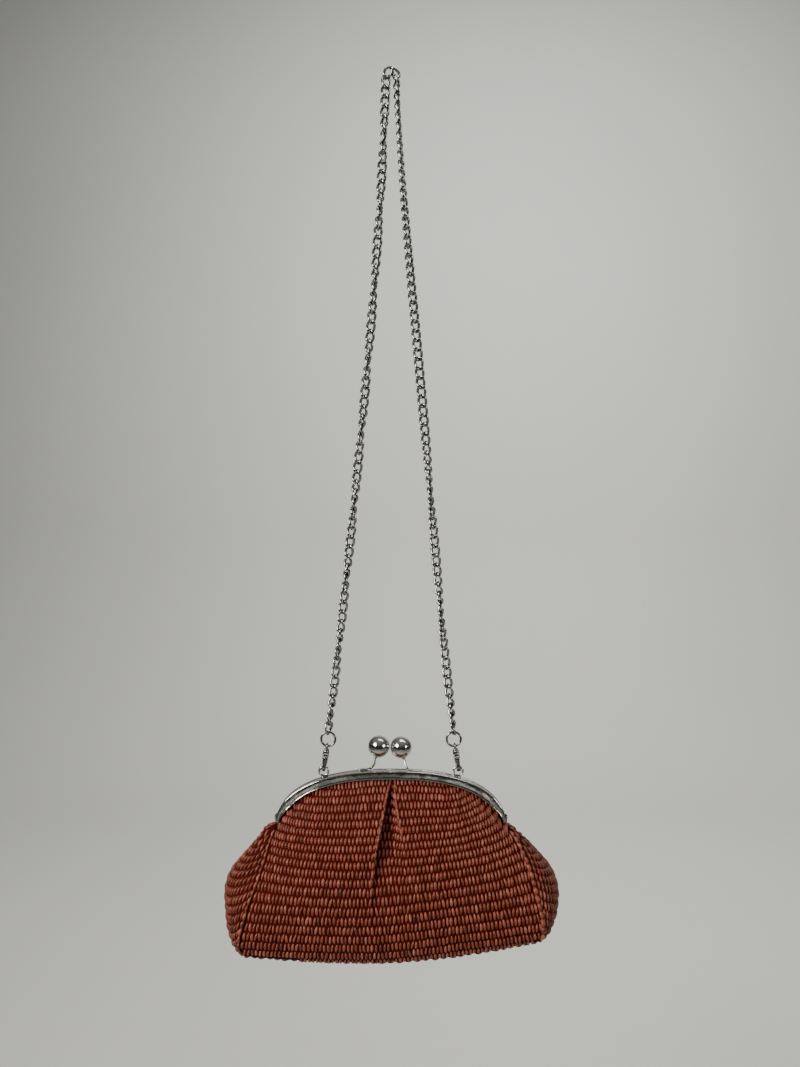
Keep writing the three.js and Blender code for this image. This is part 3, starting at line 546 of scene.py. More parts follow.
def panel_surface(steps=150):
    """Front panel as a grid: the tucked rows and the sections, joined down each column by a smooth
    curve over the length of the middle column. Also gives that length at each row of the grid, and
    at the tucked rows and the sections."""
    def top(share):
        """Depth of the cloth's edge: its two insets, mixed by how tall the band is there."""
        return TIP_TUCK_INSET + (TUCK_INSET - TIP_TUCK_INSET) * (
            narrowed(share, FACE_HEIGHT) - TIP_FACE) / (FACE_HEIGHT - TIP_FACE)

    def lip(share):
        """Depth just under the band's lower lip."""
        return narrowed(share, FACE_HEIGHT) + 2 * CLEARANCE

    rows = np.stack([tuck_row(top), tuck_row(lip)] + [section_row(row) for row in SECTIONS])
    knots = lengths_along(rows[:, MIDDLE_COLUMN])
    at = np.sort(np.concatenate([np.linspace(0, knots[-1], steps), knots[1:-1]]))
    return curve_through(at, knots, rows), at, knots


def gusset_surface(panel, at, knots):
    """Gusset as a grid: a path down the left seam, along the bottom edge and up the right seam,
    and across it w from -1 to 1. A point stands out from the seam line by the swell times
    (1 - |w|^2.2)^0.6, and y runs straight from one seam to the other."""
    first = int(np.searchsorted(at, knots[LIP_KNOT]))
    rows, at = panel[first:], at[first:]
    last = len(SECTIONS)
    sagging = np.clip(1 - (last - np.arange(last + 1)) / SAGGING_ROWS, 0, 1)
    sag = np.interp(at, knots[LIP_KNOT:], sagging) * CORNER_SAG
    left, right = (
        curve_through(at, knots[LIP_KNOT:], np.append(LIP_SWELL, SECTIONS[:, k] * GUSSET_BULGE))
        for k in (5, 9)
    )
    down_swell = np.stack([-left, 0 * left, -sag], axis=-1)
    up_swell = np.stack([right, 0 * right, -sag], axis=-1)
    bottom = rows[-1, 1:-1]
    t = (bottom[:, 0] - rows[-1, 0, 0]) / (rows[-1, -1, 0] - rows[-1, 0, 0])
    swell = np.broadcast_to([0.0, 0.0, -BOTTOM_SAG], bottom.shape)
    for share, corner in ((t, down_swell[-1]), (1 - t, up_swell[-1])):
        fade = (np.clip(1 - share / 0.2, 0, 1) ** 2)[:, None]
        swell = swell + (corner - swell) * fade
    seam = np.concatenate([rows[:, 0], bottom, rows[::-1, -1]])
    swells = np.concatenate([down_swell, swell, up_swell[::-1]])
    w = np.sin(np.linspace(-np.pi / 2, np.pi / 2, 41))
    full = ((1 - np.abs(w) ** 2.2) ** 0.6)[None, :]
    x = seam[:, 0:1] + swells[:, 0:1] * full
    y = -seam[:, 1:2] * w[None, :]
    z = seam[:, 2:3] + swells[:, 2:3] * full
    return np.stack([x, y, z], axis=-1)


def grid_normals(grid, inside):
    """Cross product of the differences along rows and columns, all turned the way in which most
    point away from an inside point."""
    normals = unit(np.cross(np.gradient(grid, axis=0), np.gradient(grid, axis=1)))
    return normals * np.sign(np.einsum("ijk,ijk->", normals, grid - inside))


def cloth_wall(grid, normals, inset, thickness):
    """Closed wall: the grid moved in by the inset, the same grid moved in by the thickness, and a
    strip of quads round the rim."""
    rows, columns = grid.shape[:2]
    outer = (grid - normals * inset).reshape(-1, 3)
    inner = (grid - normals * thickness).reshape(-1, 3)
    faces = grid_faces(rows, columns)
    along = lengths_along(grid[:, columns // 2])[-1]
    across = lengths_along(grid[rows // 2])[-1]
    uvs = grid_uvs(rows, columns, False, across, along)
    count = rows * columns
    index = np.arange(count).reshape(rows, columns)
    rim = np.concatenate([index[0, :-1], index[:-1, -1], index[-1, :0:-1], index[:0:-1, 0]])
    ahead = np.roll(rim, -1)
    strip = np.stack([rim, rim + count, ahead + count, ahead], axis=-1)
    blocks = [(faces, uvs), (faces[:, ::-1] + count, uvs[:, ::-1]), (strip, None)]
    return Shell(np.concatenate([outer, inner]), blocks)


class PanelMap:
    """The front panel seen from the front: for a place (x, z) it gives y and the row of the grid.
    Each row is read on a level ladder of x, and the row at a given z is found by halving the
    stretch between the first and the last row again and again."""

    def __init__(self, grid, step=0.0005):
        self.grid = grid
        self.start = grid[..., 0].min() - step
        self.step = step
        ladder = np.arange(self.start, grid[..., 0].max() + 2 * step, step)
        self.y = np.stack([np.interp(ladder, row[:, 0], row[:, 1]) for row in grid])
        self.z = np.stack([np.interp(ladder, row[:, 0], row[:, 2]) for row in grid])
        self.left, self.right = grid[:, 0, 0], grid[:, -1, 0]

    def read(self, table, row, x):
        """Value of a table between its rows and between the steps of the ladder."""
        c = np.clip((x - self.start) / self.step, 0, table.shape[1] - 1.001)
        r = np.clip(row, 0, table.shape[0] - 1.001)
        i, j = r.astype(int), c.astype(int)
        a, b = r - i, c - j
        upper = table[i, j] * (1 - b) + table[i, j + 1] * b
        lower = table[i + 1, j] * (1 - b) + table[i + 1, j + 1] * b
        return upper * (1 - a) + lower * a

    def row_at(self, x, z):
        """Row whose height at x is z."""
        low, high = np.zeros_like(x), np.full_like(x, len(self.z) - 1.0)
        for _ in range(22):
            middle = (low + high) / 2
            above = self.read(self.z, middle, x) > z
            low, high = np.where(above, middle, low), np.where(above, high, middle)
        return (low + high) / 2

    def place(self, x, z):
        """Points on the panel at (x, z), and the normal (dy/dx, -1, dy/dz) from differences."""
        h = 0.0006
        row = self.row_at(x, z)
        point = np.stack([x, self.read(self.y, row, x), self.read(self.z, row, x)], axis=-1)
        side = self.read(self.y, self.row_at(x + h, z), x + h)
        side = side - self.read(self.y, self.row_at(x - h, z), x - h)
        rise = self.read(self.y, self.row_at(x, z + h), x)
        rise = rise - self.read(self.y, self.row_at(x, z - h), x)
        slope_x, slope_z = np.clip(side / (2 * h), -2.5, 2.5), np.clip(rise / (2 * h), -2.5, 2.5)
        normal = unit(np.stack([slope_x, -np.ones_like(x), slope_z], axis=-1))
        return point, normal, row


# Stops along a grain, from one end to the other, and the outline's length for its UVs
GRAIN_STOPS = np.array([-1, -0.74, -0.4, 0, 0.4, 0.74, 1])
MIDDLE_STOP = len(GRAIN_STOPS) // 2
GRAIN_GIRTH = 0.0055


def spindles(centres, normals, width, thickness, sink, tones, sides=6):
    """Grains of raffia. Each has a ring of points at every stop t along it, wide and thick as
    (1 - |t|^2.2)^0.85 and moved inwards by sink times t^2, and closes in a point at both ends.
    centres and normals are (grain, stop, 3), and width, thickness and tones have one value a grain.
    UVs run round a grain and along it, in metres, and each grain's are shifted by its tone."""
    count, stops = centres.shape[:2]
    along = unit(np.gradient(centres, axis=1))
    across = unit(np.cross(along, normals))
    shape = (1 - np.abs(GRAIN_STOPS) ** 2.2) ** 0.85
    depth = thickness[:, None] / 2 + sink * GRAIN_STOPS[None, :] ** 2
    middle = centres - normals * depth[..., None]
    angle = 2 * np.pi * np.arange(sides) / sides
    half_wide = width[:, None] * shape[None, :] / 2
    half_thick = thickness[:, None] * shape[None, :] / 2
    rings = (
        middle[:, 1:-1, None, :]
        + across[:, 1:-1, None, :] * (half_wide[:, 1:-1, None] * np.cos(angle))[..., None]
        + normals[:, 1:-1, None, :] * (half_thick[:, 1:-1, None] * np.sin(angle))[..., None]
    )
    inner = stops - 2
    each = inner * sides + 2
    points = np.concatenate(
        [rings.reshape(count, -1, 3), middle[:, :1], middle[:, -1:]], axis=1
    )
    body = grid_faces(inner, sides, around=True)
    j = np.arange(sides)
    k = (j + 1) % sides
    first = np.stack([k, j, np.full(sides, inner * sides)], axis=-1)
    base = (inner - 1) * sides
    last = np.stack([base + j, base + k, np.full(sides, inner * sides + 1)], axis=-1)
    length = np.linalg.norm(centres[:, -1] - centres[:, 0], axis=1).mean()
    v = (GRAIN_STOPS + 1) / 2 * length
    step = GRAIN_GIRTH / sides
    rows_uv = np.stack(np.broadcast_arrays(
        np.array([0, 1, 1, 0])[None, :] + (np.arange(len(body)) % sides)[:, None],
        v[1:-1][(np.arange(len(body)) // sides)[:, None] + np.array([0, 0, 1, 1])[None, :]],
    ), axis=-1) * [step, 1]
    first_u = np.stack([k, j, j], -1) * step
    first_uv = np.stack([first_u, np.broadcast_to([v[1], v[1], v[0]], (sides, 3))], -1)
    last_u = np.stack([j, k, j], -1) * step
    last_uv = np.stack([last_u, np.broadcast_to([v[-2], v[-2], v[-1]], (sides, 3))], -1)
    shift = np.arange(count)[:, None, None]
    nudge = np.stack([tones * 0.37, tones * 2.1], axis=-1)[:, None, None, :]
    blocks = []
    for faces, uvs in ((body, rows_uv), (first, first_uv), (last, last_uv)):
        spread = (faces[None] + shift * each).reshape(-1, faces.shape[1])
        blocks.append((spread, (uvs[None] + nudge).reshape(-1, faces.shape[1], 2)))
    return Shell(points, blocks, 1, np.repeat(tones, each))


def row_heights(panel_map, look):
    """Numbers of the lines between the weave's rows and their heights z at the reference place. A
    line's number is the length of cloth down to it from the frame's lip, less the first row, over
    the pitch, and grows by the extra rows on an S curve over its first stretch."""
    x = np.full(1200, look.row_reference)
    z = np.linspace(FRAME_TOP, FRAME_TOP - FACE_HEIGHT - PANEL_DROP - 0.004, 1200)
    y = panel_map.read(panel_map.y, panel_map.row_at(x, z), x)
    along = lengths_along(np.stack([x, y, z], axis=-1))
    lip = np.interp(-(FRAME_TOP - arch_fall(look.row_reference) - FACE_HEIGHT), -z, along)
    number = (along - lip - look.first_row) / look.row_pitch
    return number + look.extra_rows * smoothstep((number - 2.5) / 9), z


def row_rise(number, x, rows):
    """How far a row has risen at x from the panel's far left: its tilt, read from the tilt table by
    the row's place down the panel and eased between the table's places, summed up along x."""
    ladder = np.linspace(-0.15, 0.15, 601)
    down = np.clip(number / rows, 0, 1)
    tilt = np.stack([np.interp(down, ROW_TILT[:, 0], column) for column in ROW_TILT[:, 1:].T], axis=-1)
    knots = np.clip(np.searchsorted(TILT_AT, ladder) - 1, 0, len(TILT_AT) - 2)
    t = smoothstep((ladder - TILT_AT[knots]) / (TILT_AT[knots + 1] - TILT_AT[knots]))
    slope = tilt[:, knots] * (1 - t) + tilt[:, knots + 1] * t
    total = np.cumsum(slope, axis=1) * (ladder[1] - ladder[0])
    place = (x - ladder[0]) / (ladder[-1] - ladder[0]) * (len(ladder) - 1)
    place = np.clip(place, 0, len(ladder) - 2).astype(int)
    return total[np.arange(len(number)), place]


def panel_grains(grid, look, seed):
    """Grains of the front panel. Row by row, places a grain's pitch apart along the cloth are
    moved half a pitch in every other row, on each side of the pleat's fold by themselves, and each
    grain follows the panel from one line between rows to the next. A grain leans by the seam lean
    times its share of the half width, with some scatter. Rows start above the frame and end below
    the bottom edge, because their tilt brings them in, and what lies off the panel is dropped."""
    chance = np.random.default_rng(seed)
    panel_map = PanelMap(grid)
    number, heights = row_heights(panel_map, look)
    rows = int(np.floor(number.max()))
    numbers, xs = [], []
    for k in range(-6, rows + 9):
        x = np.linspace(grid[..., 0].min(), grid[..., 0].max(), 900)
        z = line_height(np.full(900, k + 0.5), x, number, heights, rows, look)
        y = panel_map.read(panel_map.y, panel_map.row_at(x, z), x)
        along = lengths_along(np.stack([x, y, z], axis=-1))
        fold = np.interp(pleat_split(k, rows), x, along)
        steps = np.arange(-60, 61) + 0.5 * (k % 2)
        for start, low, high in ((look.row_reference, 0, fold), (RIGHT_ROWS_X, fold, along[-1])):
            places = np.interp(start, x, along) + steps * look.grain_pitch
            places = places[(places >= low) & (places < high)]
            xs.append(np.interp(places, along, x))
            numbers.append(np.full(len(places), k + 0.5))
    x, n = np.concatenate(xs), np.concatenate(numbers)
    x = x + chance.normal(0, 0.04, len(x)) * look.grain_pitch
    n = n + chance.normal(0, 0.03, len(n))
    stops = GRAIN_STOPS * 0.5 * look.grain_overlap
    z = np.stack([line_height(n + t, x, number, heights, rows, look) for t in stops], axis=1)
    lean = -SEAM_LEAN * x / SEAM_HALF_WIDTH + chance.normal(0, 0.1, len(x))
    middle = z[:, MIDDLE_STOP]
    every_x = x[:, None] + lean[:, None] * (z - middle[:, None])
    point, normal, row = panel_map.place(every_x.ravel(), z.ravel())
    point, normal = (a.reshape(len(x), -1, 3) for a in (point, normal))
    row = row.reshape(len(x), -1)[:, MIDDLE_STOP]
    left = np.interp(row, np.arange(len(grid)), panel_map.left) + SEAM_MARGIN
    right = np.interp(row, np.arange(len(grid)), panel_map.right) - SEAM_MARGIN
    inside = (x > left) & (x < right) & (row > 0.8) & (row < len(grid) - 1.3)
    point, normal, x, middle = point[inside], normal[inside], x[inside], middle[inside]
    count = len(x)
    width = look.grain_width * (1 + chance.normal(0, 0.1, count))
    thickness = look.grain_thickness * (1 + chance.normal(0, 0.06, count))
    tones = np.clip(0.5 + chance.normal(0, 0.13, count), 0, 1)
    return spindles(point, normal, width, thickness, look.grain_sink, tones)


def line_height(n, x, number, heights, rows, look):
    """Height of the weave's line number n at x: its height at the reference place plus its rise."""
    rise = row_rise(n, x, rows) - row_rise(n, np.full_like(x, look.row_reference), rows)
    return np.interp(n, number, heights) + rise


def pleat_split(k, rows):
    """Where the two halves of the weave meet in row k: at the fold of the pleat, which is looked up
    at the row's share of all rows raised to a power of 1.15."""
    down = np.clip(k / rows, 0, 1) ** 1.15
    fold, _, _ = pleat_at(down)
    return fold


def gusset_grains(grid, normals, look, seed):
    """Grains of the gusset: rows a row's pitch apart along the path, grains a pitch apart across,
    moved half a pitch in every other row. The middle of a row hangs lower than its ends by the
    droop times 1 - w^2, with w from -1 to 1 across, and by the cosine of the path's share."""
    chance = np.random.default_rng(seed)
    middle = grid.shape[1] // 2
    path = lengths_along(grid[:, middle])
    rows = np.arange(-2.5 * look.row_pitch, path[-1] + 3 * look.row_pitch, look.row_pitch)
    index = np.arange(len(path))
    path_at, across_at = [], []
    for k, distance in enumerate(rows):
        i = np.interp(np.clip(distance, 0.5 * look.row_pitch, path[-1]), path, index)
        line = sample(grid, np.full(grid.shape[1], i), np.arange(grid.shape[1], dtype=float))
        along = lengths_along(line)
        half = along[-1] / 2
        steps = np.arange(-40, 41) + 0.5 * (k % 2)
        places = half + steps * look.grain_pitch
        places = places[(places > GUSSET_MARGIN) & (places < along[-1] - GUSSET_MARGIN)]
        across_at.append(np.interp(places, along, np.arange(grid.shape[1])))
        path_at.append(np.full(len(places), distance))
    distance = np.concatenate(path_at)
    across = np.concatenate(across_at)
    w = across / middle - 1
    droop = look.gusset_droop * np.cos(np.pi * np.clip(distance / path[-1], 0, 1)) * (1 - w**2)
    distance = distance + droop + chance.normal(0, 0.03, len(distance)) * look.row_pitch
    kept = (distance > 0.5 * look.row_pitch) & (distance < path[-1] - 0.4 * look.row_pitch)
    distance, across = distance[kept], across[kept]
    stops = GRAIN_STOPS * 0.5 * look.grain_overlap * look.row_pitch
    places = np.clip(distance[:, None] + stops[None, :], 0, path[-1])
    i = np.interp(places, path, index)
    lean = look.gusset_lean * np.where(across > middle, -1, 1)
    j = across[:, None] + lean[:, None] * GRAIN_STOPS[None, :]
    j = np.clip(j, 0, grid.shape[1] - 1)
    point = sample(grid, i.ravel(), j.ravel()).reshape(i.shape + (3,))
    normal = unit(sample(normals, i.ravel(), j.ravel())).reshape(i.shape + (3,))
    count = len(distance)
    width = look.grain_width * 0.94 * (1 + chance.normal(0, 0.07, count))
    thickness = look.grain_thickness * (1 + chance.normal(0, 0.06, count))
    tones = np.clip(0.42 + chance.normal(0, 0.12, count), 0, 1)
    return spindles(point, normal, width, thickness, look.grain_sink, tones)


def sample(grid, i, j):
    """Value of a grid of vectors between its rows and columns, straight both ways."""
    i = np.clip(i, 0, grid.shape[0] - 1.001)
    j = np.clip(j, 0, grid.shape[1] - 1.001)
    a, b = i.astype(int), j.astype(int)
    s, t = (i - a)[:, None], (j - b)[:, None]
    upper = grid[a, b] * (1 - t) + grid[a, b + 1] * t
    lower = grid[a + 1, b] * (1 - t) + grid[a + 1, b + 1] * t
    return upper * (1 - s) + lower * s


def seam_grains(line, normals, look, width, seed):
    """Gathered stitches of a seam: grains end to end along the seam line, a little closer than the
    rows, overlapping by a quarter and lifted by three tenths of their width."""
    chance = np.random.default_rng(seed)
    along = lengths_along(line)
    pitch = look.row_pitch * 0.82
    middles = np.arange(pitch * 0.6, along[-1] - pitch * 0.5, pitch)
    places = middles[:, None] + GRAIN_STOPS[None, :] * pitch * 0.62
    point = np.stack([np.interp(places, along, line[:, k]) for k in range(3)], axis=-1)
    normal = np.stack([np.interp(places, along, normals[:, k]) for k in range(3)], axis=-1)
    count = len(middles)
    wide = width * (1 + chance.normal(0, 0.08, count))
    tones = np.clip(0.52 + chance.normal(0, 0.15, count), 0, 1)
    lifted = point + unit(normal) * width * 0.3
    return spindles(lifted, unit(normal), wide, wide * 0.85, look.grain_sink, tones)


def mirrored(shell):
    """The same shell on the other side of the parting plane."""
    return Shell(shell.points * [1, -1, 1], shell.blocks, shell.slot, shell.tone, shell.smooth)


# Node groups and materials


def add_node(tree, kind, place, **values):
    """A node with its settings and its sockets' own values."""
    node = tree.nodes.new(kind)
    node.location = place
    for key, value in values.items():
        if hasattr(node, key):
            setattr(node, key, value)
        else:
            node.inputs[key.replace("_", " ")].default_value = value
    return node


def new_group(name, inputs, outputs):
    """A node group with named sockets, given as (name, kind, default)."""
    group = bpy.data.node_groups.new(name, "ShaderNodeTree")
    for title, kind, default in inputs:
        socket = group.interface.new_socket(title, in_out="INPUT", socket_type=kind)
        socket.default_value = default
    for title, kind in outputs:
        group.interface.new_socket(title, in_out="OUTPUT", socket_type=kind)
    start = group.nodes.new("NodeGroupInput")
    end = group.nodes.new("NodeGroupOutput")
    start.location, end.location = (-900, 0), (500, 0)
    return group, start, end


def strand_fibre_group():
    """Fibres of a raffia strand: noise drawn out along the strand's UV gives streaks of colour and
    relief, and a coarser noise the dull and glossy patches."""
    group, start, end = new_group(
        "strand fibre",
        [("Fineness", "NodeSocketFloat", 2600.0), ("Stretch", "NodeSocketFloat", 0.1)],
        [("Streaks", "NodeSocketFloat"), ("Relief", "NodeSocketFloat"),
         ("Patches", "NodeSocketFloat")],
    )
    link = group.links.new
    uv = add_node(group, "ShaderNodeUVMap", (-1100, -200), uv_map="UVMap")
    scale = add_node(group, "ShaderNodeCombineXYZ", (-700, 200))
    along = add_node(group, "ShaderNodeMath", (-900, 200), operation="MULTIPLY")
    link(start.outputs["Fineness"], along.inputs[0])
    link(start.outputs["Stretch"], along.inputs[1])
    link(start.outputs["Fineness"], scale.inputs[0])
    link(along.outputs[0], scale.inputs[1])
    spread = add_node(group, "ShaderNodeVectorMath", (-500, 0), operation="MULTIPLY")
    link(uv.outputs[0], spread.inputs[0])
    link(scale.outputs[0], spread.inputs[1])
    streak = add_node(group, "ShaderNodeTexNoise", (-300, 100), Scale=1.0, Detail=3.0, Roughness=0.6)
    link(spread.outputs[0], streak.inputs["Vector"])
    patch = add_node(group, "ShaderNodeTexNoise", (-300, -200), Scale=0.12, Detail=1.0)
    link(spread.outputs[0], patch.inputs["Vector"])
    relief = add_node(group, "ShaderNodeMapRange", (0, -50), From_Min=0.3, From_Max=0.7)
    link(streak.outputs["Fac"], relief.inputs["Value"])
    link(streak.outputs["Fac"], end.inputs["Streaks"])
    link(relief.outputs["Result"], end.inputs["Relief"])
    link(patch.outputs["Fac"], end.inputs["Patches"])
    return group


def handled_metal_group():
    """Finish of plated metal that has been handled: broad smears and fine scuffs by the object's
    own place, put out as a roughness, a tint mask and a small relief."""
    group, start, end = new_group(
        "handled metal",
        [("Polish", "NodeSocketFloat", 0.1), ("Wear", "NodeSocketFloat", 0.08)],
        [("Roughness", "NodeSocketFloat"), ("Tint", "NodeSocketFloat"),
         ("Relief", "NodeSocketFloat")],
    )
    link = group.links.new
    place = add_node(group, "ShaderNodeTexCoord", (-1100, 0))
    smear = add_node(group, "ShaderNodeTexNoise", (-800, 150), Scale=55.0, Detail=3.0)
    scuff = add_node(group, "ShaderNodeTexNoise", (-800, -150), Scale=900.0, Detail=4.0)
    for noise in (smear, scuff):
        link(place.outputs["Object"], noise.inputs["Vector"])
    both = add_node(group, "ShaderNodeMath", (-550, 0), operation="MULTIPLY")
    link(smear.outputs["Fac"], both.inputs[0])
    link(scuff.outputs["Fac"], both.inputs[1])
    worn = add_node(group, "ShaderNodeMath", (-350, 0), operation="MULTIPLY_ADD")
    link(both.outputs[0], worn.inputs[0])
    link(start.outputs["Wear"], worn.inputs[1])
    link(start.outputs["Polish"], worn.inputs[2])
    link(worn.outputs[0], end.inputs["Roughness"])
    link(smear.outputs["Fac"], end.inputs["Tint"])
    relief = add_node(group, "ShaderNodeMath", (-350, -200), operation="MULTIPLY_ADD")
    link(scuff.outputs["Fac"], relief.inputs[0])
    relief.inputs[1].default_value = 0.01
    link(smear.outputs["Fac"], relief.inputs[2])
    link(relief.outputs[0], end.inputs["Relief"])
    return group


def use_group(tree, name, make, place, **values):
    """A group node in a material; the group is built the first time it is asked for."""
    group = bpy.data.node_groups.get(name) or make()
    node = tree.nodes.new("ShaderNodeGroup")
    node.node_tree = group
    node.location = place
    for key, value in values.items():
        node.inputs[key].default_value = value
    return node


def empty_material(name):
    """A material with an unlinked Principled BSDF."""
    material = bpy.data.materials.new(name)
    material.use_nodes = True
    return material, material.node_tree, material.node_tree.nodes["Principled BSDF"]


def raffia_material(name, look, dark):
    """Strands: the tone of each grain picks its colour from brown over rust and terracotta to pink,
    and dark scales that colour: below 1 it gives a copy of the strands darkened as painted shade.
    Fibres streak it, raise a small relief and vary a soft gloss."""
    material, tree, shader = empty_material(name)
    link = tree.links.new
    fibre = use_group(tree, "strand fibre", strand_fibre_group, (-900, -100))
    tone = add_node(tree, "ShaderNodeAttribute", (-1100, 300), attribute_name="tone")
    spread = add_node(tree, "ShaderNodeMath", (-900, 300), operation="MULTIPLY_ADD")
    link(fibre.outputs["Patches"], spread.inputs[0])
    spread.inputs[1].default_value = 0.5
    shift = add_node(tree, "ShaderNodeMath", (-900, 480), operation="SUBTRACT")
    link(tone.outputs["Fac"], shift.inputs[0])
    shift.inputs[1].default_value = 0.25
    link(shift.outputs[0], spread.inputs[2])
    ramp = add_node(tree, "ShaderNodeValToRGB", (-700, 300))
    stops = ramp.color_ramp.elements
    colours = [look.colour_brown, look.colour_rust, look.colour_terracotta, look.colour_pink]
    while len(stops) < len(colours):
        stops.new(0.5)
    for stop, place, colour in zip(stops, (0.08, 0.4, 0.68, 0.97), colours):
        stop.position = place
        stop.color = [c * dark for c in colour] + [1]
    link(spread.outputs[0], ramp.inputs["Fac"])
    streaked = add_node(tree, "ShaderNodeMix", (-400, 250), data_type="RGBA", blend_type="MULTIPLY")
    shade = add_node(tree, "ShaderNodeValToRGB", (-700, 0))
    shade.color_ramp.elements[0].position = 0.33
    shade.color_ramp.elements[0].color = (0.42, 0.34, 0.3, 1)
    shade.color_ramp.elements[1].position = 0.62
    shade.color_ramp.elements[1].color = (1, 1, 1, 1)
    link(fibre.outputs["Streaks"], shade.inputs["Fac"])
    streaked.inputs["Factor"].default_value = 0.75
    link(ramp.outputs["Color"], streaked.inputs["A"])
    link(shade.outputs["Color"], streaked.inputs["B"])
    link(streaked.outputs["Result"], shader.inputs["Base Color"])
    rough = add_node(tree, "ShaderNodeMapRange", (-400, -50), To_Min=0.26, To_Max=0.5)
    link(fibre.outputs["Patches"], rough.inputs["Value"])
    link(rough.outputs["Result"], shader.inputs["Roughness"])
    bump = add_node(tree, "ShaderNodeBump", (-300, -300), Strength=0.55, Distance=0.0003)
    link(fibre.outputs["Relief"], bump.inputs["Height"])
    link(bump.outputs["Normal"], shader.inputs["Normal"])
    shader.inputs["Specular IOR Level"].default_value = 0.5
    shader.inputs["Specular Tint"].default_value = (1, 0.88, 0.82, 1)
    return material


def ground_material(name, look):
    """Backing cloth between the grains: matt maroon threads, dark to light by their streaks. Its colour is
    near black: partly the cloth's own maroon, partly painted shade for the deep gaps between the grains.
    """
    material, tree, shader = empty_material(name)
    link = tree.links.new
    fibre = use_group(tree, "strand fibre", strand_fibre_group, (-900, 0), Fineness=1900.0, Stretch=0.5)
    ramp = add_node(tree, "ShaderNodeValToRGB", (-600, 100))
    ramp.color_ramp.elements[0].position = 0.3
    ramp.color_ramp.elements[0].color = [c * 0.45 for c in look.colour_ground_and_gap_shade] + [1]
    ramp.color_ramp.elements[1].position = 0.75
    ramp.color_ramp.elements[1].color = [c * 1.5 for c in look.colour_ground_and_gap_shade] + [1]
    link(fibre.outputs["Streaks"], ramp.inputs["Fac"])
    link(ramp.outputs["Color"], shader.inputs["Base Color"])
    bump = add_node(tree, "ShaderNodeBump", (-300, -200), Strength=0.7, Distance=0.0004)
    link(fibre.outputs["Relief"], bump.inputs["Height"])
    link(bump.outputs["Normal"], shader.inputs["Normal"])
    shader.inputs["Roughness"].default_value = 0.9
    shader.inputs["Specular IOR Level"].default_value = 0.1
    return material


def metal_material(name, colour, polish, wear, strength, rim):
    """Plated steel: full metal, its roughness and tint varied by the handled metal group and its
    relief scaled by the strength. The rim is the grey of what is mirrored at a grazing angle: 1 is
    clean metal, and less keeps the edges of thin wire dark."""
    material, tree, shader = empty_material(name)
    link = tree.links.new
    finish = use_group(tree, "handled metal", handled_metal_group, (-700, 0), Polish=polish, Wear=wear)
    tint = add_node(tree, "ShaderNodeMix", (-350, 200), data_type="RGBA", blend_type="MIX")
    tint.inputs["A"].default_value = [*colour, 1]
    tint.inputs["B"].default_value = [*(c * 0.82 for c in colour), 1]
    link(finish.outputs["Tint"], tint.inputs["Factor"])
    link(tint.outputs["Result"], shader.inputs["Base Color"])
    link(finish.outputs["Roughness"], shader.inputs["Roughness"])
    bump = add_node(tree, "ShaderNodeBump", (-350, -200), Strength=strength, Distance=0.001)
    link(finish.outputs["Relief"], bump.inputs["Height"])
    link(bump.outputs["Normal"], shader.inputs["Normal"])
    shader.inputs["Metallic"].default_value = 1.0
    shader.inputs["Specular Tint"].default_value = (rim, rim, rim, 1)
    return material


def material_named(name, make, *values):
    """A material that is built once and then shared."""
    return bpy.data.materials.get(name) or make(name, *values)


def frame_metal(look):
    """Plating of the frame, its balls and its rivets."""
    return material_named("frame nickel", metal_material, look.nickel, look.polish, look.wear, 0.8, 0.7)


def fitting_metal(look):
    """Plating of the hooks and rings, duller than the frame's, and darker with a low rim as painted shade:
    dark mirrored surroundings.
    """
    dull = look.polish * 1.3
    return material_named("fitting nickel with painted shade", metal_material, look.fitting_nickel_with_painted_shade, dull, look.wear, 0.5, 0.15)


def chain_metal(look):
    """Plating of the chain, as dull as the fittings', and darker with a low rim as painted shade: dark
    mirrored surroundings.
    """
    dull = look.polish * 1.3
    return material_named("chain nickel with painted shade", metal_material, look.chain_nickel_with_painted_shade, dull, look.wear, 0.5, 0.08)


# Metal shapes


def band_outline(face, leg, opening):
    """Section of a frame half, as (inset, y), for arrays of face height, leg height and opening:
    rounded top corner, slightly crowned face, half-round rolled lip, then back inside the sheet."""
    corner, roll, bend = 0.0011, 0.0006, 0.0004
    lip_y = HALF_DEPTH + 0.00035 - roll
    a = np.linspace(np.pi / 2, 0, 7)
    lines = [(0, opening)]
    lines += [(corner * (1 - np.sin(t)), HALF_DEPTH - corner * (1 - np.cos(t))) for t in a]
    for s in np.linspace(0.2, 0.95, 4):
        inset = corner + (face - 2 * roll - corner) * s
        lines.append((inset, HALF_DEPTH + 0.0001 * np.sin(np.pi * s)))
    for t in np.linspace(np.pi * 0.78, -np.pi * 0.35, 8):
        lines.append((face - roll + roll * np.cos(t), lip_y + roll * np.sin(t)))
    inner = HALF_DEPTH - SHEET
    lines += [
        (face - roll * 0.9, inner), (SHEET + bend, inner), (SHEET, inner - bend),
        (SHEET, opening + SHEET), (leg, opening + SHEET), (leg, opening),
    ]
    pairs = [np.broadcast_arrays(inset, y, face)[:2] for inset, y in lines]
    return np.stack([np.stack(pair, axis=-1) for pair in pairs], axis=1)


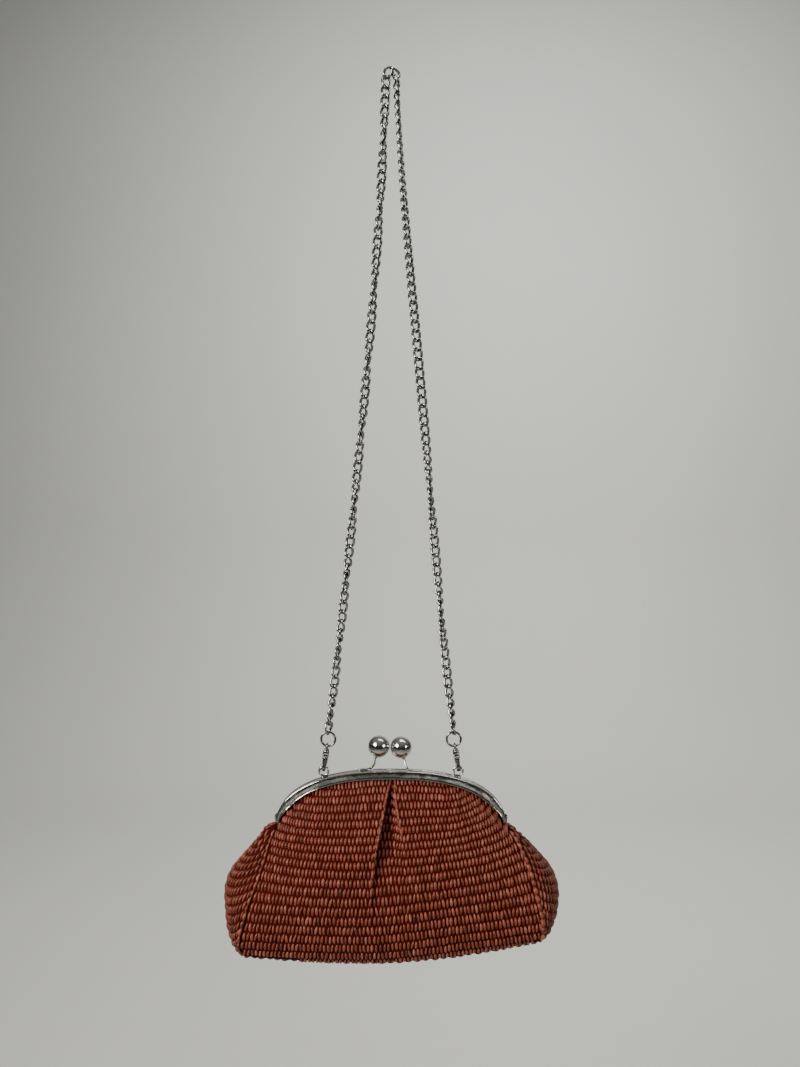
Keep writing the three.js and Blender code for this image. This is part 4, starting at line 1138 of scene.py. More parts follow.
def band(side):
    """Channel of one frame half: the section carried along the arch, opened near the tips so that
    it clears the hinge."""
    share = smooth_ends(np.linspace(0, 1, 181))
    face = narrowed(share, FACE_HEIGHT)
    point, tangent = arch_at(share)
    near = 1 - smoothstep((point[:, 1] + ARCH_RISE - EAR_HEIGHT) / 0.003)
    opening = CLEARANCE / 2 + near * (EAR_REACH + CLEARANCE)
    leg = np.maximum(narrowed(share, LEG_HEIGHT) * (1 - near), SHEET * 1.3)
    outline = band_outline(face, leg, opening)
    centres = np.stack([point[:, 0], np.zeros(len(share)), point[:, 1] + FRAME_TOP], axis=-1)
    inward = np.stack([tangent[:, 1], np.zeros(len(share)), -tangent[:, 0]], axis=-1)
    out = np.broadcast_to([0.0, float(side), 0.0], inward.shape)
    return swept(centres, inward, out, outline)


def smooth_ends(t):
    """Shares pushed a little towards both ends, where the arch bends most."""
    return t - 0.06 * np.sin(4 * np.pi * t) / (2 * np.pi)


def ear(side, end):
    """Hinge ear: a plate square to X, its outline a half ellipse about the rivet and a straight back,
    carried along X and drawn in a little at both faces."""
    outer = FRAME_WIDTH / 2 - EAR_SHEET / 2
    x = end * (outer if side < 0 else outer - EAR_SHEET - CLEARANCE)
    half = EAR_HEIGHT / 2
    tail = (HALF_DEPTH - half * 0.2) * side
    angle = np.linspace(-np.pi / 2, np.pi / 2, 15)
    nose = np.stack([-side * EAR_REACH * np.cos(angle), half * np.sin(angle)], axis=-1)
    back = np.array([[tail, half], [HALF_DEPTH * side * 0.98, half * 0.6],
                     [HALF_DEPTH * side * 0.98, -half * 0.6], [tail, -half]])
    outline = np.concatenate([nose, back])
    stations = np.array([-0.5, -0.42, 0.42, 0.5]) * EAR_SHEET
    scale = np.array([0.93, 1, 1, 0.93])[:, None, None]
    centres = np.stack([x + stations, np.zeros(4), np.full(4, TIP_Z + half)], axis=-1)
    across = np.broadcast_to([0.0, 1.0, 0.0], (4, 3))
    up = np.broadcast_to([0.0, 0.0, 1.0], (4, 3))
    return swept(centres, across, up, outline[None] * scale, smooth=False)


def clasp_points(side, look):
    """Ball centre, direction from the ball down its arm, and the points of the arm's route."""
    end = -side
    height = BALL_HEIGHT_FRONT if side < 0 else BALL_HEIGHT_BACK
    ball = np.array([BALL_SHIFT + end * BALL_SPREAD / 2, -side * BALL_STAGGER, height])
    foot_y = side * HALF_DEPTH / 2
    lean = np.array([end * 0.003, 0, -look.ball / 2 - 0.0012])
    down = unit(lean)
    centre = look.arm_thickness / 2 - SOLDER_SINK

    def on_frame(reach, above):
        """Point above the band's top, a reach outwards from the ball."""
        x = ball[0] + end * reach
        return [x, foot_y, above - arch_fall(x)]

    route = np.array([
        on_frame(0.0175, centre), on_frame(0.0122, centre), on_frame(0.009, centre),
        on_frame(0.006, centre + ARM_SHOULDER),
        [ball[0] + end * 0.0039, (foot_y + ball[1]) / 2, centre + ARM_RISE],
        ball + lean, ball + down * (look.ball / 2 - 0.0029),
    ])
    lift = np.array([0, 0, FRAME_TOP])
    return ball + lift, down, route + lift


def clasp_arm(side, look):
    """Arm: a flat outline that eases into a round one, carried along a curve through the route, and
    the ball's collar as a profile swung round the arm's line."""
    ball, down, route = clasp_points(side, look)
    bends = np.arange(len(route))
    line = evenly(curve_through(np.linspace(0, bends[-1], 60), bends, route), 44)
    tangent = unit(np.gradient(line, axis=0))
    across = np.broadcast_to([0.0, 1.0, 0.0], line.shape)
    up = unit(np.cross(tangent, across))
    across = unit(np.cross(up, tangent))
    t = np.linspace(0, 1, len(line))
    wide = look.arm_width + (look.arm_thickness - look.arm_width) * smoothstep(t / 0.55)
    start = np.clip(t / 0.03, 0.25, 1)
    thick = look.arm_thickness * (0.72 + 0.28 * smoothstep(t / 0.4))
    outline = round_outline(16, 1, 1, 2.6)[None] * np.stack([wide * start, thick], -1)[:, None, :]
    rod = swept(line, across, up, outline)
    collar = turned([
        [0, -0.0004], [0.0016, -0.0004], [0.0019, 0], [0.0019, 0.0006], [0.0014, 0.0011],
        [0.001, 0.0014], [0, 0.0014],
    ], 32).placed(axes_to(down), ball + down * (look.ball / 2 + 0.0001))
    return [rod, collar]


def clasp_ball(side, look):
    """Ball: a sphere by its half circle, swung round the line of its arm, with a shallow ring
    pressed in where the arm enters."""
    ball, down, _ = clasp_points(side, look)
    angle = np.linspace(0, np.pi, 41)
    radius = look.ball / 2 * np.ones_like(angle)
    radius[:3] -= 0.00012
    profile = np.stack([radius * np.sin(angle), radius * np.cos(angle)], axis=-1)
    profile[0, 0] = profile[-1, 0] = 0
    return turned(profile, 64).placed(axes_to(down), ball)


def eyelet(end):
    """Soldered eyelet on the back half: a ring standing on the frame, and its fillet of solder as a
    profile of (radius, height) swung round Z."""
    place = np.array([end * EYELET_SPACING / 2, CHAIN_Y, EYELET_Z])
    loop = ring(EYELET_RADIUS, EYELET_WIRE, 56, 14).moved(place)
    foot = -EYELET_RADIUS - EYELET_WIRE / 2
    fillet = turned([
        [0, foot - 0.0005], [0.0027, foot - 0.0005], [0.0026, foot], [0.0019, foot + 0.0004],
        [0.0012, foot + 0.0011], [0, foot + 0.0012],
    ], 28).moved(place)
    return [loop, fillet]


def hinge_rivet(end):
    """Rivet along X: one profile, a shaft with a low dome at both ends, swung round its axis."""
    middle = EAR_SHEET + 1.5 * CLEARANCE
    dome = [[0.0011, middle - 0.0003], [0.0018, middle], [0.0017, middle + 0.0003],
            [0.0012, middle + 0.0006], [0.0006, middle + 0.00068], [0, middle + 0.0007]]
    profile = [[r, -h] for r, h in reversed(dome)] + dome
    x = end * (FRAME_WIDTH / 2 - EAR_SHEET - CLEARANCE / 2)
    z = TIP_Z + EAR_HEIGHT / 2
    return turned(profile, 28).placed(axes_to([end, 0, 0]), [x, 0, z])


def hook_axes(end):
    """Axes and origin of a snap hook: its X along the gate's pin, its Z up the leaning hook."""
    tilt = -end * HOOK_TILT
    axes = np.array([
        [np.cos(tilt), 0, -np.sin(tilt)], [0, 1, 0], [np.sin(tilt), 0, np.cos(tilt)],
    ])
    origin = np.array([end * CHAIN_END_X, CHAIN_Y, RING_Z]) - RING_UP * axes[2]
    return axes, origin


def hook_bar(points, width, thick, steps, power=3.2):
    """Bar of a hook: a rounded rectangle carried along (y, z) points, wide along X and thick in
    the plane of the loop; width and thick are given at the points and run straight between them."""
    points = np.asarray(points, float)
    knots = lengths_along(points)
    at = np.linspace(0, knots[-1], steps)
    line = curve_through(at, knots, points)
    line = np.stack([np.zeros(steps), line[:, 0], line[:, 1]], axis=-1)
    tangent = unit(np.gradient(line, axis=0))
    across = np.broadcast_to([1.0, 0.0, 0.0], line.shape)
    up = unit(np.cross(tangent, across))
    sizes = np.stack([np.interp(at, knots, width), np.interp(at, knots, thick)], axis=-1)
    return swept(line, across, up, round_outline(16, 1, 1, power)[None] * sizes[:, None, :])


def snap_hook(end):
    """Body of a snap hook: one bar from the nose round a half circle, up the back and over to the
    gate's pin, growing wider with height, with a collar for the swivel and the pin's two heads."""
    r = HOOK_RADIUS
    angle = np.linspace(-np.pi, 0, 9)
    # Columns: y, z and thickness of the bar
    nose = [[-r, 0.0005, HOOK_NOSE], [-r, 0, HOOK_NOSE]]
    bend = np.stack([r * np.cos(angle), r * np.sin(angle), 0 * angle + HOOK_WIRE * 0.96], axis=-1)
    over = [
        [r, 0.0035, 0.0022], [r, 0.0065, 0.0022], [r * 0.9, 0.009, 0.0025],
        [r * 0.45, 0.01035, 0.0025], [0, 0.0105, 0.0026], [-r * 0.5, 0.0104, 0.0025],
        [-r * 0.93, 0.0096, 0.0021], [-r * 1.02, PIN_Z + 0.0006, 0.0014],
    ]
    bar = np.concatenate([nose, bend[1:], over])
    width = HOOK_BAR + HOOK_SHOULDER_GAIN * np.clip((bar[:, 1] + r) / HOOK_BODY, 0, 1)
    body = hook_bar(bar[:, :2], width, bar[:, 2], power=4.5, steps=84)
    collar = turned([
        [0, 0.0108], [0.0024, 0.0108], [0.0025, 0.0114], [0.0025, 0.0128], [0.0021, 0.0131],
        [0, 0.0131],
    ], 32)
    cheeks = [
        turned([[0, 0.0013], [0.0016, 0.0013], [0.0017, 0.0016], [0.0016, 0.0021], [0.0008, 0.0024],
                [0, 0.0025]], 24).placed(axes_to([way, 0, 0]), [0, -r, PIN_Z])
        for way in (-1, 1)
    ]
    axes, origin = hook_axes(end)
    return [shell.placed(axes, origin) for shell in [body, collar, *cheeks]]


def snap_gate(end):
    """Gate: a bar from the nose up to its eye on the pin, a short bar as thumb piece beside it, and
    the eye as a profile swung round the pin."""
    r = HOOK_RADIUS
    lever = hook_bar(
        [[-r + 0.0002, 0.0011], [-r + 0.0002, 0.0035], [-r + 0.0001, 0.0058], [-r, PIN_Z]],
        [0.0024, 0.0025, 0.0025, 0.0025], [0.0013, 0.0016, 0.0016, 0.002], steps=24)
    thumb = hook_bar(
        [[-r - 0.0006, PIN_Z - 0.0012], [-r - 0.0016, PIN_Z - 0.0004], [-r - 0.0028, PIN_Z]],
        [0.0024, 0.0024, 0.0022], [0.0016, 0.0014, 0.0008], steps=16)
    eye = turned([[0, -0.00125], [0.0014, -0.00125], [0.0016, -0.001], [0.0016, 0.001],
                  [0.0014, 0.00125], [0, 0.00125]], 28).placed(axes_to([1, 0, 0]), [0, -r, PIN_Z])
    axes, origin = hook_axes(end)
    return [shell.placed(axes, origin) for shell in (lever, thumb, eye)]


def swivel_eye(end):
    """Swivel eye: a ring square to the jump ring, and its shank with the head inside the hook as one
    profile swung round Z."""
    square = [[0, 1, 0], [-1, 0, 0], [0, 0, 1]]
    loop = ring(EYE_RADIUS, EYE_WIRE * WIRE_GAIN, 40, 12).placed(square, [0, 0, EYE_UP])
    top = EYE_UP - EYE_RADIUS + 0.0002
    head = SLOT_TOP - CLEARANCE
    shank = turned([
        [0, head - 0.0011], [0.0013, head - 0.0011], [0.0017, head - 0.0008], [0.0017, head],
        [0.0012, head], [0.0012, COLLAR_TOP + 0.0001], [0.002, COLLAR_TOP + 0.0004],
        [0.0021, top - 0.0003], [0.0016, top + 0.0002], [0, top + 0.0002],
    ], 24)
    axes, origin = hook_axes(end)
    return [shell.placed(axes, origin) for shell in (loop, shank)]


def chain_links(look):
    """Curb chain. A link is a racetrack of wire, twisted about its length so that its ends stand
    square to each other: a point at share a of the half length is turned by a times the twist.
    Links lie a pitch apart along the route, which runs straight on past both its ends, and turn
    with the twist of their strand."""
    route = np.stack([
        CHAIN_ROUTE[:, 0], CHAIN_Y * np.maximum(-CHAIN_ROUTE[:, 1], 0) / CHAIN_DROP, CHAIN_ROUTE[:, 1],
    ], axis=-1)
    along = lengths_along(route)
    fine = curve_through(np.linspace(0, along[-1], 4000), along, route)
    along = lengths_along(fine)
    half = (look.link_length - look.link_wire) / 2
    lead = LINK_OVERHANG - half
    count = int(round((along[-1] + 2 * lead) / look.link_pitch)) + 1
    places = np.linspace(-lead, along[-1] + lead, count)
    run_on = 0.02
    ahead = unit(fine[[-1]] - fine[[-2]]) * run_on
    behind = unit(fine[[0]] - fine[[1]]) * run_on
    fine = np.concatenate([fine[[0]] + behind, fine, fine[[-1]] + ahead])
    along = np.concatenate([[-run_on], along, [along[-1] + run_on]])
    reach = half * 0.8
    centre, front, back = (
        np.stack([np.interp(places + step, along, fine[:, k]) for k in range(3)], axis=-1)
        for step in (0, reach, -reach)
    )
    tangent = unit(front - back)
    y = np.broadcast_to([0.0, 1.0, 0.0], tangent.shape)
    flat = unit(np.cross(tangent, y))
    face = np.cross(flat, tangent)
    left = places < along[-2] / 2
    angle = np.where(left, strand_twist(centre[:, 2], LEFT_TWIST),
                     -strand_twist(centre[:, 2], RIGHT_TWIST))
    side = flat * np.cos(angle)[:, None] + face * np.sin(angle)[:, None]
    up = face * np.cos(angle)[:, None] - flat * np.sin(angle)[:, None]
    turn = 2 * np.pi * np.arange(look.link_steps) / look.link_steps
    c, s = np.cos(turn), np.sin(turn)
    long_way = half * np.sign(c) * np.abs(c) ** 0.8
    wide = (look.link_width - look.link_wire) / 2 * np.sign(s) * np.abs(s) ** 0.75
    bend = look.link_twist * long_way / half
    line = np.stack([long_way, wide * np.cos(bend), wide * np.sin(bend)], axis=-1)
    line_tangent = unit(np.roll(line, -1, axis=0) - np.roll(line, 1, axis=0))
    outward = np.stack([0 * bend, -np.sin(bend), np.cos(bend)], axis=-1)
    outward = unit(outward - line_tangent * np.sum(outward * line_tangent, axis=-1, keepdims=True))
    sideways = np.cross(line_tangent, outward)
    wire = round_outline(look.link_sides, look.link_wire, look.link_wire)
    link = swept(line, sideways, outward, wire, around=True)
    points = (
        centre[:, None, :]
        + link.points[None, :, 0:1] * tangent[:, None, :]
        + link.points[None, :, 1:2] * side[:, None, :]
        + link.points[None, :, 2:3] * up[:, None, :]
    )
    faces, uvs = link.blocks[0]
    spread = (faces[None] + np.arange(count)[:, None, None] * len(link.points)).reshape(-1, 4)
    uvs = np.broadcast_to(uvs, (count,) + uvs.shape).reshape(-1, 4, 2)
    return Shell(points, [(spread, uvs)])


def strand_twist(z, table):
    """Angle of a strand at height z, straight between the heights of its table."""
    return np.interp(-z, -table[:, 0], table[:, 1] * np.pi)


# Settings


class RaffiaSettings(PropertyGroup):
    wall: FloatProperty(
        name="Wall", description="Thickness of the woven cloth with its grains",
        default=0.002, min=0.001, max=0.004, unit="LENGTH")
    ground_inset: FloatProperty(
        name="Ground inset", description="Depth of the backing cloth under the tops of the grains",
        default=0.0016, min=0.0005, max=0.002, unit="LENGTH")
    row_pitch: FloatProperty(
        name="Row pitch", description="Height of a row of grains, along the cloth",
        default=0.0074, min=0.004, max=0.012, unit="LENGTH")
    first_row: FloatProperty(
        name="First row", description="Cloth between the frame's lip and the first line of rows",
        default=0.0056, min=0.0, max=0.01, unit="LENGTH")
    extra_rows: FloatProperty(
        name="Extra rows", description="Rows squeezed in on the upper half of a panel",
        default=1.1, min=0.0, max=3.0)
    row_reference: FloatProperty(
        name="Row reference", description="Place along X where rows are counted from the frame",
        default=-0.04, min=-0.1, max=0.1, unit="LENGTH")
    grain_pitch: FloatProperty(
        name="Grain pitch", description="Distance between grains in a row",
        default=0.00318, min=0.002, max=0.006, unit="LENGTH")
    grain_width: FloatProperty(
        name="Grain width", description="Width of a grain at its middle",
        default=0.00238, min=0.001, max=0.004, unit="LENGTH")
    grain_thickness: FloatProperty(
        name="Grain thickness", description="Thickness of a grain at its middle",
        default=0.0023, min=0.001, max=0.003, unit="LENGTH")
    grain_sink: FloatProperty(
        name="Grain sink", description="How far the ends of a grain dip into the cloth",
        default=0.001, min=0.0, max=0.002, unit="LENGTH")
    grain_overlap: FloatProperty(
        name="Grain length", description="Length of a grain as a share of the row pitch",
        default=1.06, min=0.7, max=1.4, subtype="FACTOR")
    gusset_lean: FloatProperty(
        name="Gusset lean", description="Slant of the gusset's grains, in grid columns",
        default=0.35, min=0.0, max=2.0)
    gusset_droop: FloatProperty(
        name="Gusset droop", description="How much lower the middle of a gusset row hangs",
        default=0.016, min=0.0, max=0.03, unit="LENGTH")
    colour_brown: FloatVectorProperty(
        name="Brown", description="Darkest grains", subtype="COLOR", size=3, min=0, max=1,
        default=(0.1, 0.02, 0.008))
    colour_rust: FloatVectorProperty(
        name="Rust", description="Rust-coloured grains", subtype="COLOR", size=3, min=0, max=1,
        default=(0.22, 0.042, 0.019))
    colour_terracotta: FloatVectorProperty(
        name="Terracotta", description="Terracotta grains", subtype="COLOR", size=3, min=0, max=1,
        default=(0.34, 0.09, 0.05))
    colour_pink: FloatVectorProperty(
        name="Pink", description="Palest grains", subtype="COLOR", size=3, min=0, max=1,
        default=(0.43, 0.155, 0.1))
    # Ground: partly the backing cloth's own maroon, partly painted shade that darkens the gaps between the
    # grains
    colour_ground_and_gap_shade: FloatVectorProperty(
        name="Ground", description="Backing cloth", subtype="COLOR", size=3, min=0, max=1,
        default=(0.06, 0.003, 0.0008))


class MetalSettings(PropertyGroup):
    nickel: FloatVectorProperty(
        name="Frame nickel", description="Colour of the frame and balls", subtype="COLOR", size=3,
        min=0, max=1, default=(0.6, 0.585, 0.55))
    # The nickel of the hooks, rings and chain is darker than the frame's as painted shade, standing in for
    # dark mirrored surroundings
    fitting_nickel_with_painted_shade: FloatVectorProperty(
        name="Fitting nickel", description="Colour of hooks and rings", subtype="COLOR", size=3,
        min=0, max=1, default=(0.3, 0.285, 0.265))
    chain_nickel_with_painted_shade: FloatVectorProperty(
        name="Chain nickel", description="Colour of the chain", subtype="COLOR", size=3,
        min=0, max=1, default=(0.36, 0.36, 0.35))
    polish: FloatProperty(
        name="Roughness", description="Roughness of the best polished places", default=0.07,
        min=0.02, max=0.5, subtype="FACTOR")
    wear: FloatProperty(
        name="Wear", description="Added roughness in handled places", default=0.2,
        min=0.0, max=1.0, subtype="FACTOR")


class ClaspSettings(PropertyGroup):
    ball: FloatProperty(
        name="Ball", description="Diameter of a clasp ball", default=0.0184,
        min=0.008, max=0.03, unit="LENGTH")
    arm_width: FloatProperty(
        name="Foot width", description="Width of the soldered foot of an arm", default=0.003,
        min=0.001, max=0.006, unit="LENGTH")
    arm_thickness: FloatProperty(
        name="Arm", description="Diameter of the round part of an arm", default=0.0016,
        min=0.001, max=0.004, unit="LENGTH")


class ChainSettings(PropertyGroup):
    link_length: FloatProperty(
        name="Link length", description="Outside length of a link", default=0.0126,
        min=0.004, max=0.03, unit="LENGTH")
    link_width: FloatProperty(
        name="Link width", description="Outside width of a link", default=0.0087,
        min=0.003, max=0.02, unit="LENGTH")
    link_wire: FloatProperty(
        name="Wire", description="Diameter of the wire", default=0.00235,
        min=0.0008, max=0.004, unit="LENGTH")
    link_pitch: FloatProperty(
        name="Pitch", description="Distance from link to link", default=0.00806,
        min=0.003, max=0.02, unit="LENGTH")
    link_twist: FloatProperty(
        name="Twist", description="Turn of each end of a link", default=0.75,
        min=0.0, max=1.5, subtype="ANGLE")
    link_steps: IntProperty(
        name="Steps", description="Stations round a link", default=22, min=8, max=48)
    link_sides: IntProperty(
        name="Sides", description="Sides of the wire", default=8, min=4, max=16)


class StageSettings(PropertyGroup):
    floor_drop: FloatProperty(
        name="Floor", description="Height of the floor below the hanging point", default=1.35,
        min=0.8, max=3.0, unit="LENGTH")
    floor_colour: FloatVectorProperty(
        name="Floor colour", description="Colour of floor and backdrop", subtype="COLOR", size=3,
        min=0, max=1, default=(0.62, 0.62, 0.58))
    key: FloatProperty(
        name="Key light", description="Power of the soft light from the upper left", default=23.0,
        min=0.0, max=500.0)
    fill: FloatProperty(
        name="Fill light", description="Power of the soft light from the right", default=4.0,
        min=0.0, max=500.0)
    backdrop: FloatProperty(
        name="Backdrop light", description="Power of the light on the backdrop", default=75.0,
        min=0.0, max=1000.0)
    low: FloatProperty(
        name="Low lights", description="Power of each light over the floor in front, which the "
        "frame mirrors", default=0.6, min=0.0, max=50.0)
    sky: FloatProperty(
        name="Room light", description="Strength of the light from above and round", default=0.3,
        min=0.0, max=5.0)


class ClutchSettings(PropertyGroup):
    raffia: PointerProperty(type=RaffiaSettings)
    metal: PointerProperty(type=MetalSettings)
    clasp: PointerProperty(type=ClaspSettings)
    chain: PointerProperty(type=ChainSettings)
    stage: PointerProperty(type=StageSettings)


# Operators


class CLUTCH_OT_cloth(Operator):
    """Build the front and back panels and the gusset, with their grains"""

    bl_idname = "clutch.cloth"
    bl_label = "Woven raffia"

    def execute(self, context):
        look = context.scene.clutch.raffia
        panel, at, knots = panel_surface()
        inside = np.array([0, 0, TIP_Z - SEAM_DROP / 2])
        normals = grid_normals(panel, inside)
        gusset = gusset_surface(panel, at, knots)
        gusset_normals = grid_normals(gusset, inside)
        ground = material_named("raffia ground with painted gap shade", ground_material, look)
        strand = material_named("raffia strands", raffia_material, look, 1.0)
        # The gusset's strands are the same strands darkened to 0.9 as painted shade
        shade = material_named("gusset strands with painted shade", raffia_material, look, 0.9)

        base = cloth_wall(panel, normals, look.ground_inset, look.wall)
        rows_at = np.searchsorted(at, knots)
        seam = slice(rows_at[FIRST_SECTION_KNOT] + 3, None)
        fold = slice(rows_at[LIP_KNOT], rows_at[FOLD_END_KNOT])
        soft = slice(rows_at[LIP_KNOT], rows_at[SOFT_EDGE_END_KNOT])
        # Rows, column, sideways lean, width and seed of each line of stitches
        edges = [
            (seam, -1, 1, 0.0042, 8), (seam, 0, -1, 0.0028, 9),
            (fold, FOLD_COLUMN, 0.8, 0.0021, 10), (soft, PLEAT_END_COLUMN, -0.3, 0.002, 11),
        ]
        stitches = [
            seam_grains(panel[part, k], side_normals(normals[part, k], way), look, width, seed)
            for part, k, way, width, seed in edges
        ]
        front = [base, panel_grains(panel, look, 5), *stitches]
        put_on(make_object("raffia_front_weave", front, [ground, strand]),
               "root", "raffia", "raffia_front")
        back = [base, panel_grains(panel, look, 6), *stitches]
        put_on(make_object("raffia_back_weave", [mirrored(s) for s in back], [ground, strand]),
               "root", "raffia", "raffia_back")

        base = cloth_wall(gusset, gusset_normals, look.ground_inset, look.wall)
        grains = gusset_grains(gusset, gusset_normals, look, 7)
        put_on(make_object("raffia_gusset_weave", [base, grains], [ground, shade]),
               "root", "gusset_raffia", "raffia_gusset")
        return {"FINISHED"}


def side_normals(normals, way):
    """Normals of a line of stitches, turned sideways: 0.7 times way is added to their x."""
    return unit(normals + np.array([0.7 * way, 0, 0]))


class CLUTCH_OT_frame(Operator):
    """Build the two halves of the kiss-lock frame with their arms and eyelets"""

    bl_idname = "clutch.frame"
    bl_label = "Frame halves"

    def execute(self, context):
        settings = context.scene.clutch
        metal = frame_metal(settings.metal)
        for name, side in (("frame_front", -1), ("frame_back", 1)):
            shells = [band(side), ear(side, -1), ear(side, 1), *clasp_arm(side, settings.clasp)]
            if side > 0:
                shells += eyelet(-1) + eyelet(1)
            put_on(make_object(name + "_metal", shells, [metal]), "root", "frame_metal", name)
        return {"FINISHED"}


class CLUTCH_OT_balls(Operator):
    """Build the two clasp balls and the hinge rivets"""

    bl_idname = "clutch.balls"
    bl_label = "Clasp balls and rivets"

    def execute(self, context):
        settings = context.scene.clutch
        metal = frame_metal(settings.metal)
        for name, side in (("clasp_ball_left", 1), ("clasp_ball_right", -1)):
            piece = make_object(name + "_metal", [clasp_ball(side, settings.clasp)], [metal])
            put_on(piece, "root", "frame_metal", name)
        for name, end in (("hinge_rivet_left", -1), ("hinge_rivet_right", 1)):
            piece = make_object(name + "_metal", [hinge_rivet(end)], [metal])
            put_on(piece, "root", "frame_metal", name)
        return {"FINISHED"}


class CLUTCH_OT_hooks(Operator):
    """Build the snap hooks with their gates, swivel eyes and jump rings"""

    bl_idname = "clutch.hooks"
    bl_label = "Snap hooks and rings"

    def execute(self, context):
        metal = fitting_metal(context.scene.clutch.metal)
        for side, end in (("left", -1), ("right", 1)):
            place = [end * CHAIN_END_X, CHAIN_Y, RING_Z]
            loop = ring(RING_RADIUS, RING_WIRE * WIRE_GAIN, 72, 14, gap=0.012).moved(place)
            for name, shells, body in (
                ("jump_ring_" + side, [loop], "root"),
                ("snap_hook_" + side, snap_hook(end), "root"),
                ("snap_gate_" + side, snap_gate(end), "gate_" + side),
                ("swivel_eye_" + side, swivel_eye(end), "root"),
            ):
                piece = make_object(name + "_metal", shells, [metal])
                put_on(piece, body, "fitting_metal", name)
        return {"FINISHED"}


class CLUTCH_OT_chain(Operator):
    """Build the curb chain link by link"""

    bl_idname = "clutch.chain"
    bl_label = "Curb chain"

    def execute(self, context):
        settings = context.scene.clutch
        piece = make_object("chain_links", [chain_links(settings.chain)], [chain_metal(settings.metal)])
        put_on(piece, "root", "chain_metal", "chain")
        return {"FINISHED"}


class CLUTCH_OT_stage(Operator):
    """Build the floor with its raised back, the lights and the camera"""

    bl_idname = "clutch.stage"
    bl_label = "Floor, lights and camera"

    def execute(self, context):
        look = context.scene.clutch.stage
        material, tree, shader = empty_material("stage plaster")
        place = add_node(tree, "ShaderNodeTexCoord", (-900, 0))
        noise = add_node(tree, "ShaderNodeTexNoise", (-700, 0), Scale=1.4, Detail=2.0)
        ramp = add_node(tree, "ShaderNodeValToRGB", (-450, 0))
        ramp.color_ramp.elements[0].color = [*(c * 0.94 for c in look.floor_colour), 1]
        ramp.color_ramp.elements[1].color = [*look.floor_colour, 1]
        tree.links.new(place.outputs["Object"], noise.inputs["Vector"])
        tree.links.new(noise.outputs["Fac"], ramp.inputs["Fac"])
        tree.links.new(ramp.outputs["Color"], shader.inputs["Base Color"])
        shader.inputs["Roughness"].default_value = 0.9
        floor = make_object("floor", [backdrop_sweep(look.floor_drop)], [material])

        warm, cool, white = (1, 0.98, 0.95), (0.95, 0.97, 1), (1, 1, 1)
        add_light("key_light", (-1.3, -1.1, 0.3), (0, 0, -0.5), 0.8, look.key, warm, 2.2)
        add_light("fill_light", (1.5, -0.9, -0.2), (0, 0, -0.6), 0.5, look.fill, cool, 2.2)
        near = -2.3
        for name, x, width in (("left_floor_light", -0.37, 0.2), ("right_floor_light", 0.26, 0.24)):
            place, aim = (x, near, 0.25 - look.floor_drop), (x, near, -look.floor_drop)
            add_light(name, place, aim, width, look.low, warm, 0.2, 0.7)
        add_light("back_light", (0.5, 0.3, 1.5), (0.7, 3.0, 0.0), 1.4, look.backdrop, white, 2.6)
        world = bpy.data.worlds.new("room")
        world.use_nodes = True
        context.scene.world = world
        tree = world.node_tree
        shade = tree.nodes["Background"]
        way = add_node(tree, "ShaderNodeTexCoord", (-900, 0))
        parts = add_node(tree, "ShaderNodeSeparateXYZ", (-700, 0))
        height = add_node(tree, "ShaderNodeValToRGB", (-450, 0))
        height.color_ramp.elements[0].position = 0.1
        height.color_ramp.elements[0].color = (0.1, 0.1, 0.095, 1)
        height.color_ramp.elements[1].position = 0.9
        height.color_ramp.elements[1].color = (1, 1, 0.97, 1)
        tree.links.new(way.outputs["Generated"], parts.inputs[0])
        tree.links.new(parts.outputs["Z"], height.inputs["Fac"])
        tree.links.new(height.outputs["Color"], shade.inputs["Color"])
        shade.inputs["Strength"].default_value = look.sky

        camera = bpy.data.cameras.new("camera")
        camera.sensor_width = SENSOR_WIDTH
        camera.lens = SENSOR_WIDTH * FOCAL_PIXELS / PHOTO_HEIGHT_PIXELS
        camera.clip_start = 0.05
        camera.clip_end = 30
        eye = bpy.data.objects.new("camera", camera)
        eye.location = CAMERA_PLACE
        eye.rotation_euler = (np.pi / 2, 0, 0)
        context.scene.collection.objects.link(eye)
        context.scene.camera = eye
        return {"FINISHED"}


def backdrop_sweep(drop):
    """Floor that turns up into a wall: level to y = 2 m, a quarter circle of 1 m, then upright."""
    angle = np.linspace(0, np.pi / 2, 24)
    level = np.stack([np.linspace(-3.2, 1.9, 12), np.full(12, -drop)], axis=-1)
    bend = np.stack([2 + np.sin(angle), 1 - np.cos(angle) - drop], axis=-1)
    wall = np.array([[3, 0.5], [3, 1.5], [3, 2.9]])
    line = np.concatenate([level, bend, wall])
    x = np.linspace(-4.5, 4.5, 10)
    grid = np.stack(np.broadcast_arrays(x[None, :], line[:, None, 0], line[:, None, 1]), axis=-1)
    return cloth_wall(grid, grid_normals(grid, np.array([0, 3.5, -3.0])), 0, -0.02)


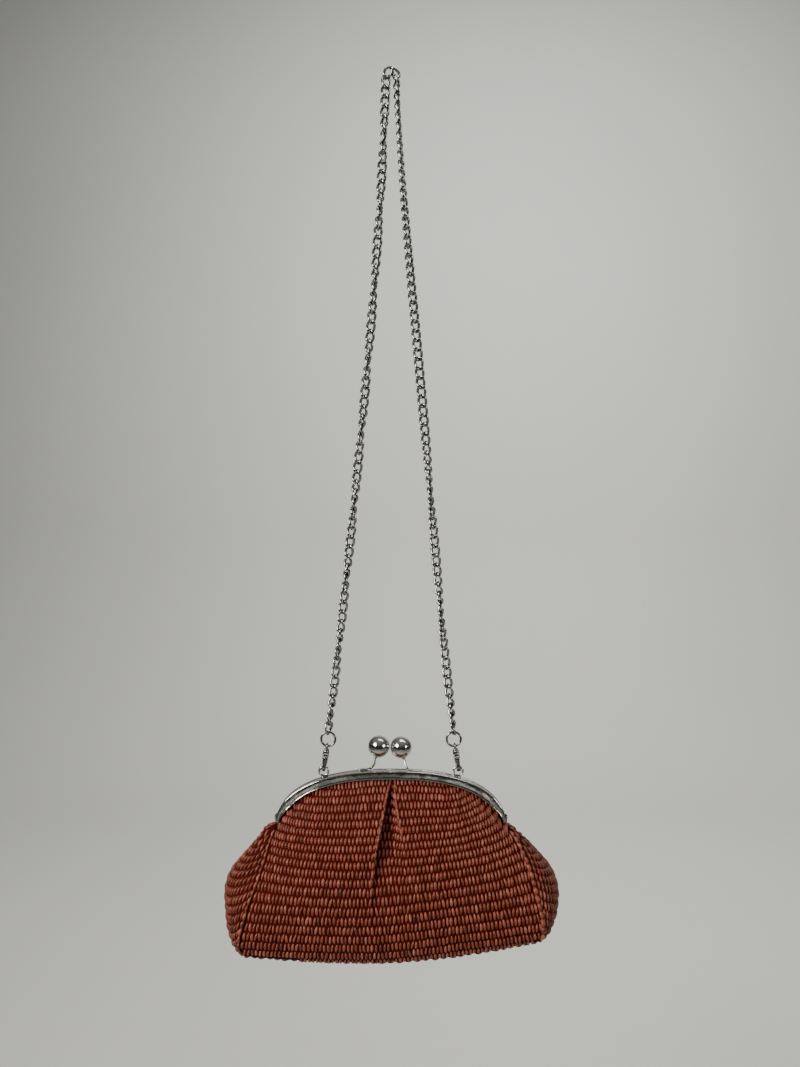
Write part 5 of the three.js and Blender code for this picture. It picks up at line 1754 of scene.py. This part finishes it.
def add_light(name, place, aim, size, power, colour, spread, length=None):
    """A rectangular area light that looks at a point, its beam held to the spread angle. Its length
    is 1.3 times its size unless given."""
    data = bpy.data.lights.new(name, "AREA")
    data.shape = "RECTANGLE"
    data.size = size
    data.size_y = length or size * 1.3
    data.energy = power
    data.spread = spread
    data.color = colour
    light = bpy.data.objects.new(name, data)
    axes = axes_to(np.subtract(place, aim))
    light.matrix_world = Matrix.Translation(place) @ Matrix(axes.T.tolist()).to_4x4()
    bpy.context.scene.collection.objects.link(light)


class CLUTCH_PT_panel(Panel):
    """Buttons for each group of pieces and the settings under them"""

    bl_idname = "CLUTCH_PT_panel"
    bl_label = "Raffia clutch"
    bl_space_type = "VIEW_3D"
    bl_region_type = "UI"
    bl_category = "Raffia clutch"

    def draw(self, context):
        settings = context.scene.clutch
        for operator, group in (
            (CLUTCH_OT_cloth, settings.raffia), (CLUTCH_OT_frame, settings.metal),
            (CLUTCH_OT_balls, settings.clasp), (CLUTCH_OT_hooks, None),
            (CLUTCH_OT_chain, settings.chain), (CLUTCH_OT_stage, settings.stage),
        ):
            box = self.layout.box()
            box.operator(operator.bl_idname)
            if group:
                for key in group.__annotations__:
                    box.prop(group, key)


CLASSES = (
    RaffiaSettings, MetalSettings, ClaspSettings, ChainSettings, StageSettings, ClutchSettings,
    CLUTCH_OT_cloth, CLUTCH_OT_frame, CLUTCH_OT_balls, CLUTCH_OT_hooks, CLUTCH_OT_chain,
    CLUTCH_OT_stage, CLUTCH_PT_panel,
)


def register():
    """Registers the classes and hangs their settings on the scene."""
    for item in CLASSES:
        bpy.utils.register_class(item)
    bpy.types.Scene.clutch = PointerProperty(type=ClutchSettings)


def unregister():
    """Takes both away again."""
    del bpy.types.Scene.clutch
    for item in reversed(CLASSES):
        bpy.utils.unregister_class(item)


def main():
    """Builds the stage and every piece."""
    register()
    bpy.ops.clutch.stage()
    bpy.ops.clutch.chain()
    bpy.ops.clutch.hooks()
    bpy.ops.clutch.frame()
    bpy.ops.clutch.balls()
    bpy.ops.clutch.cloth()


if __name__ == "__main__":
    main()
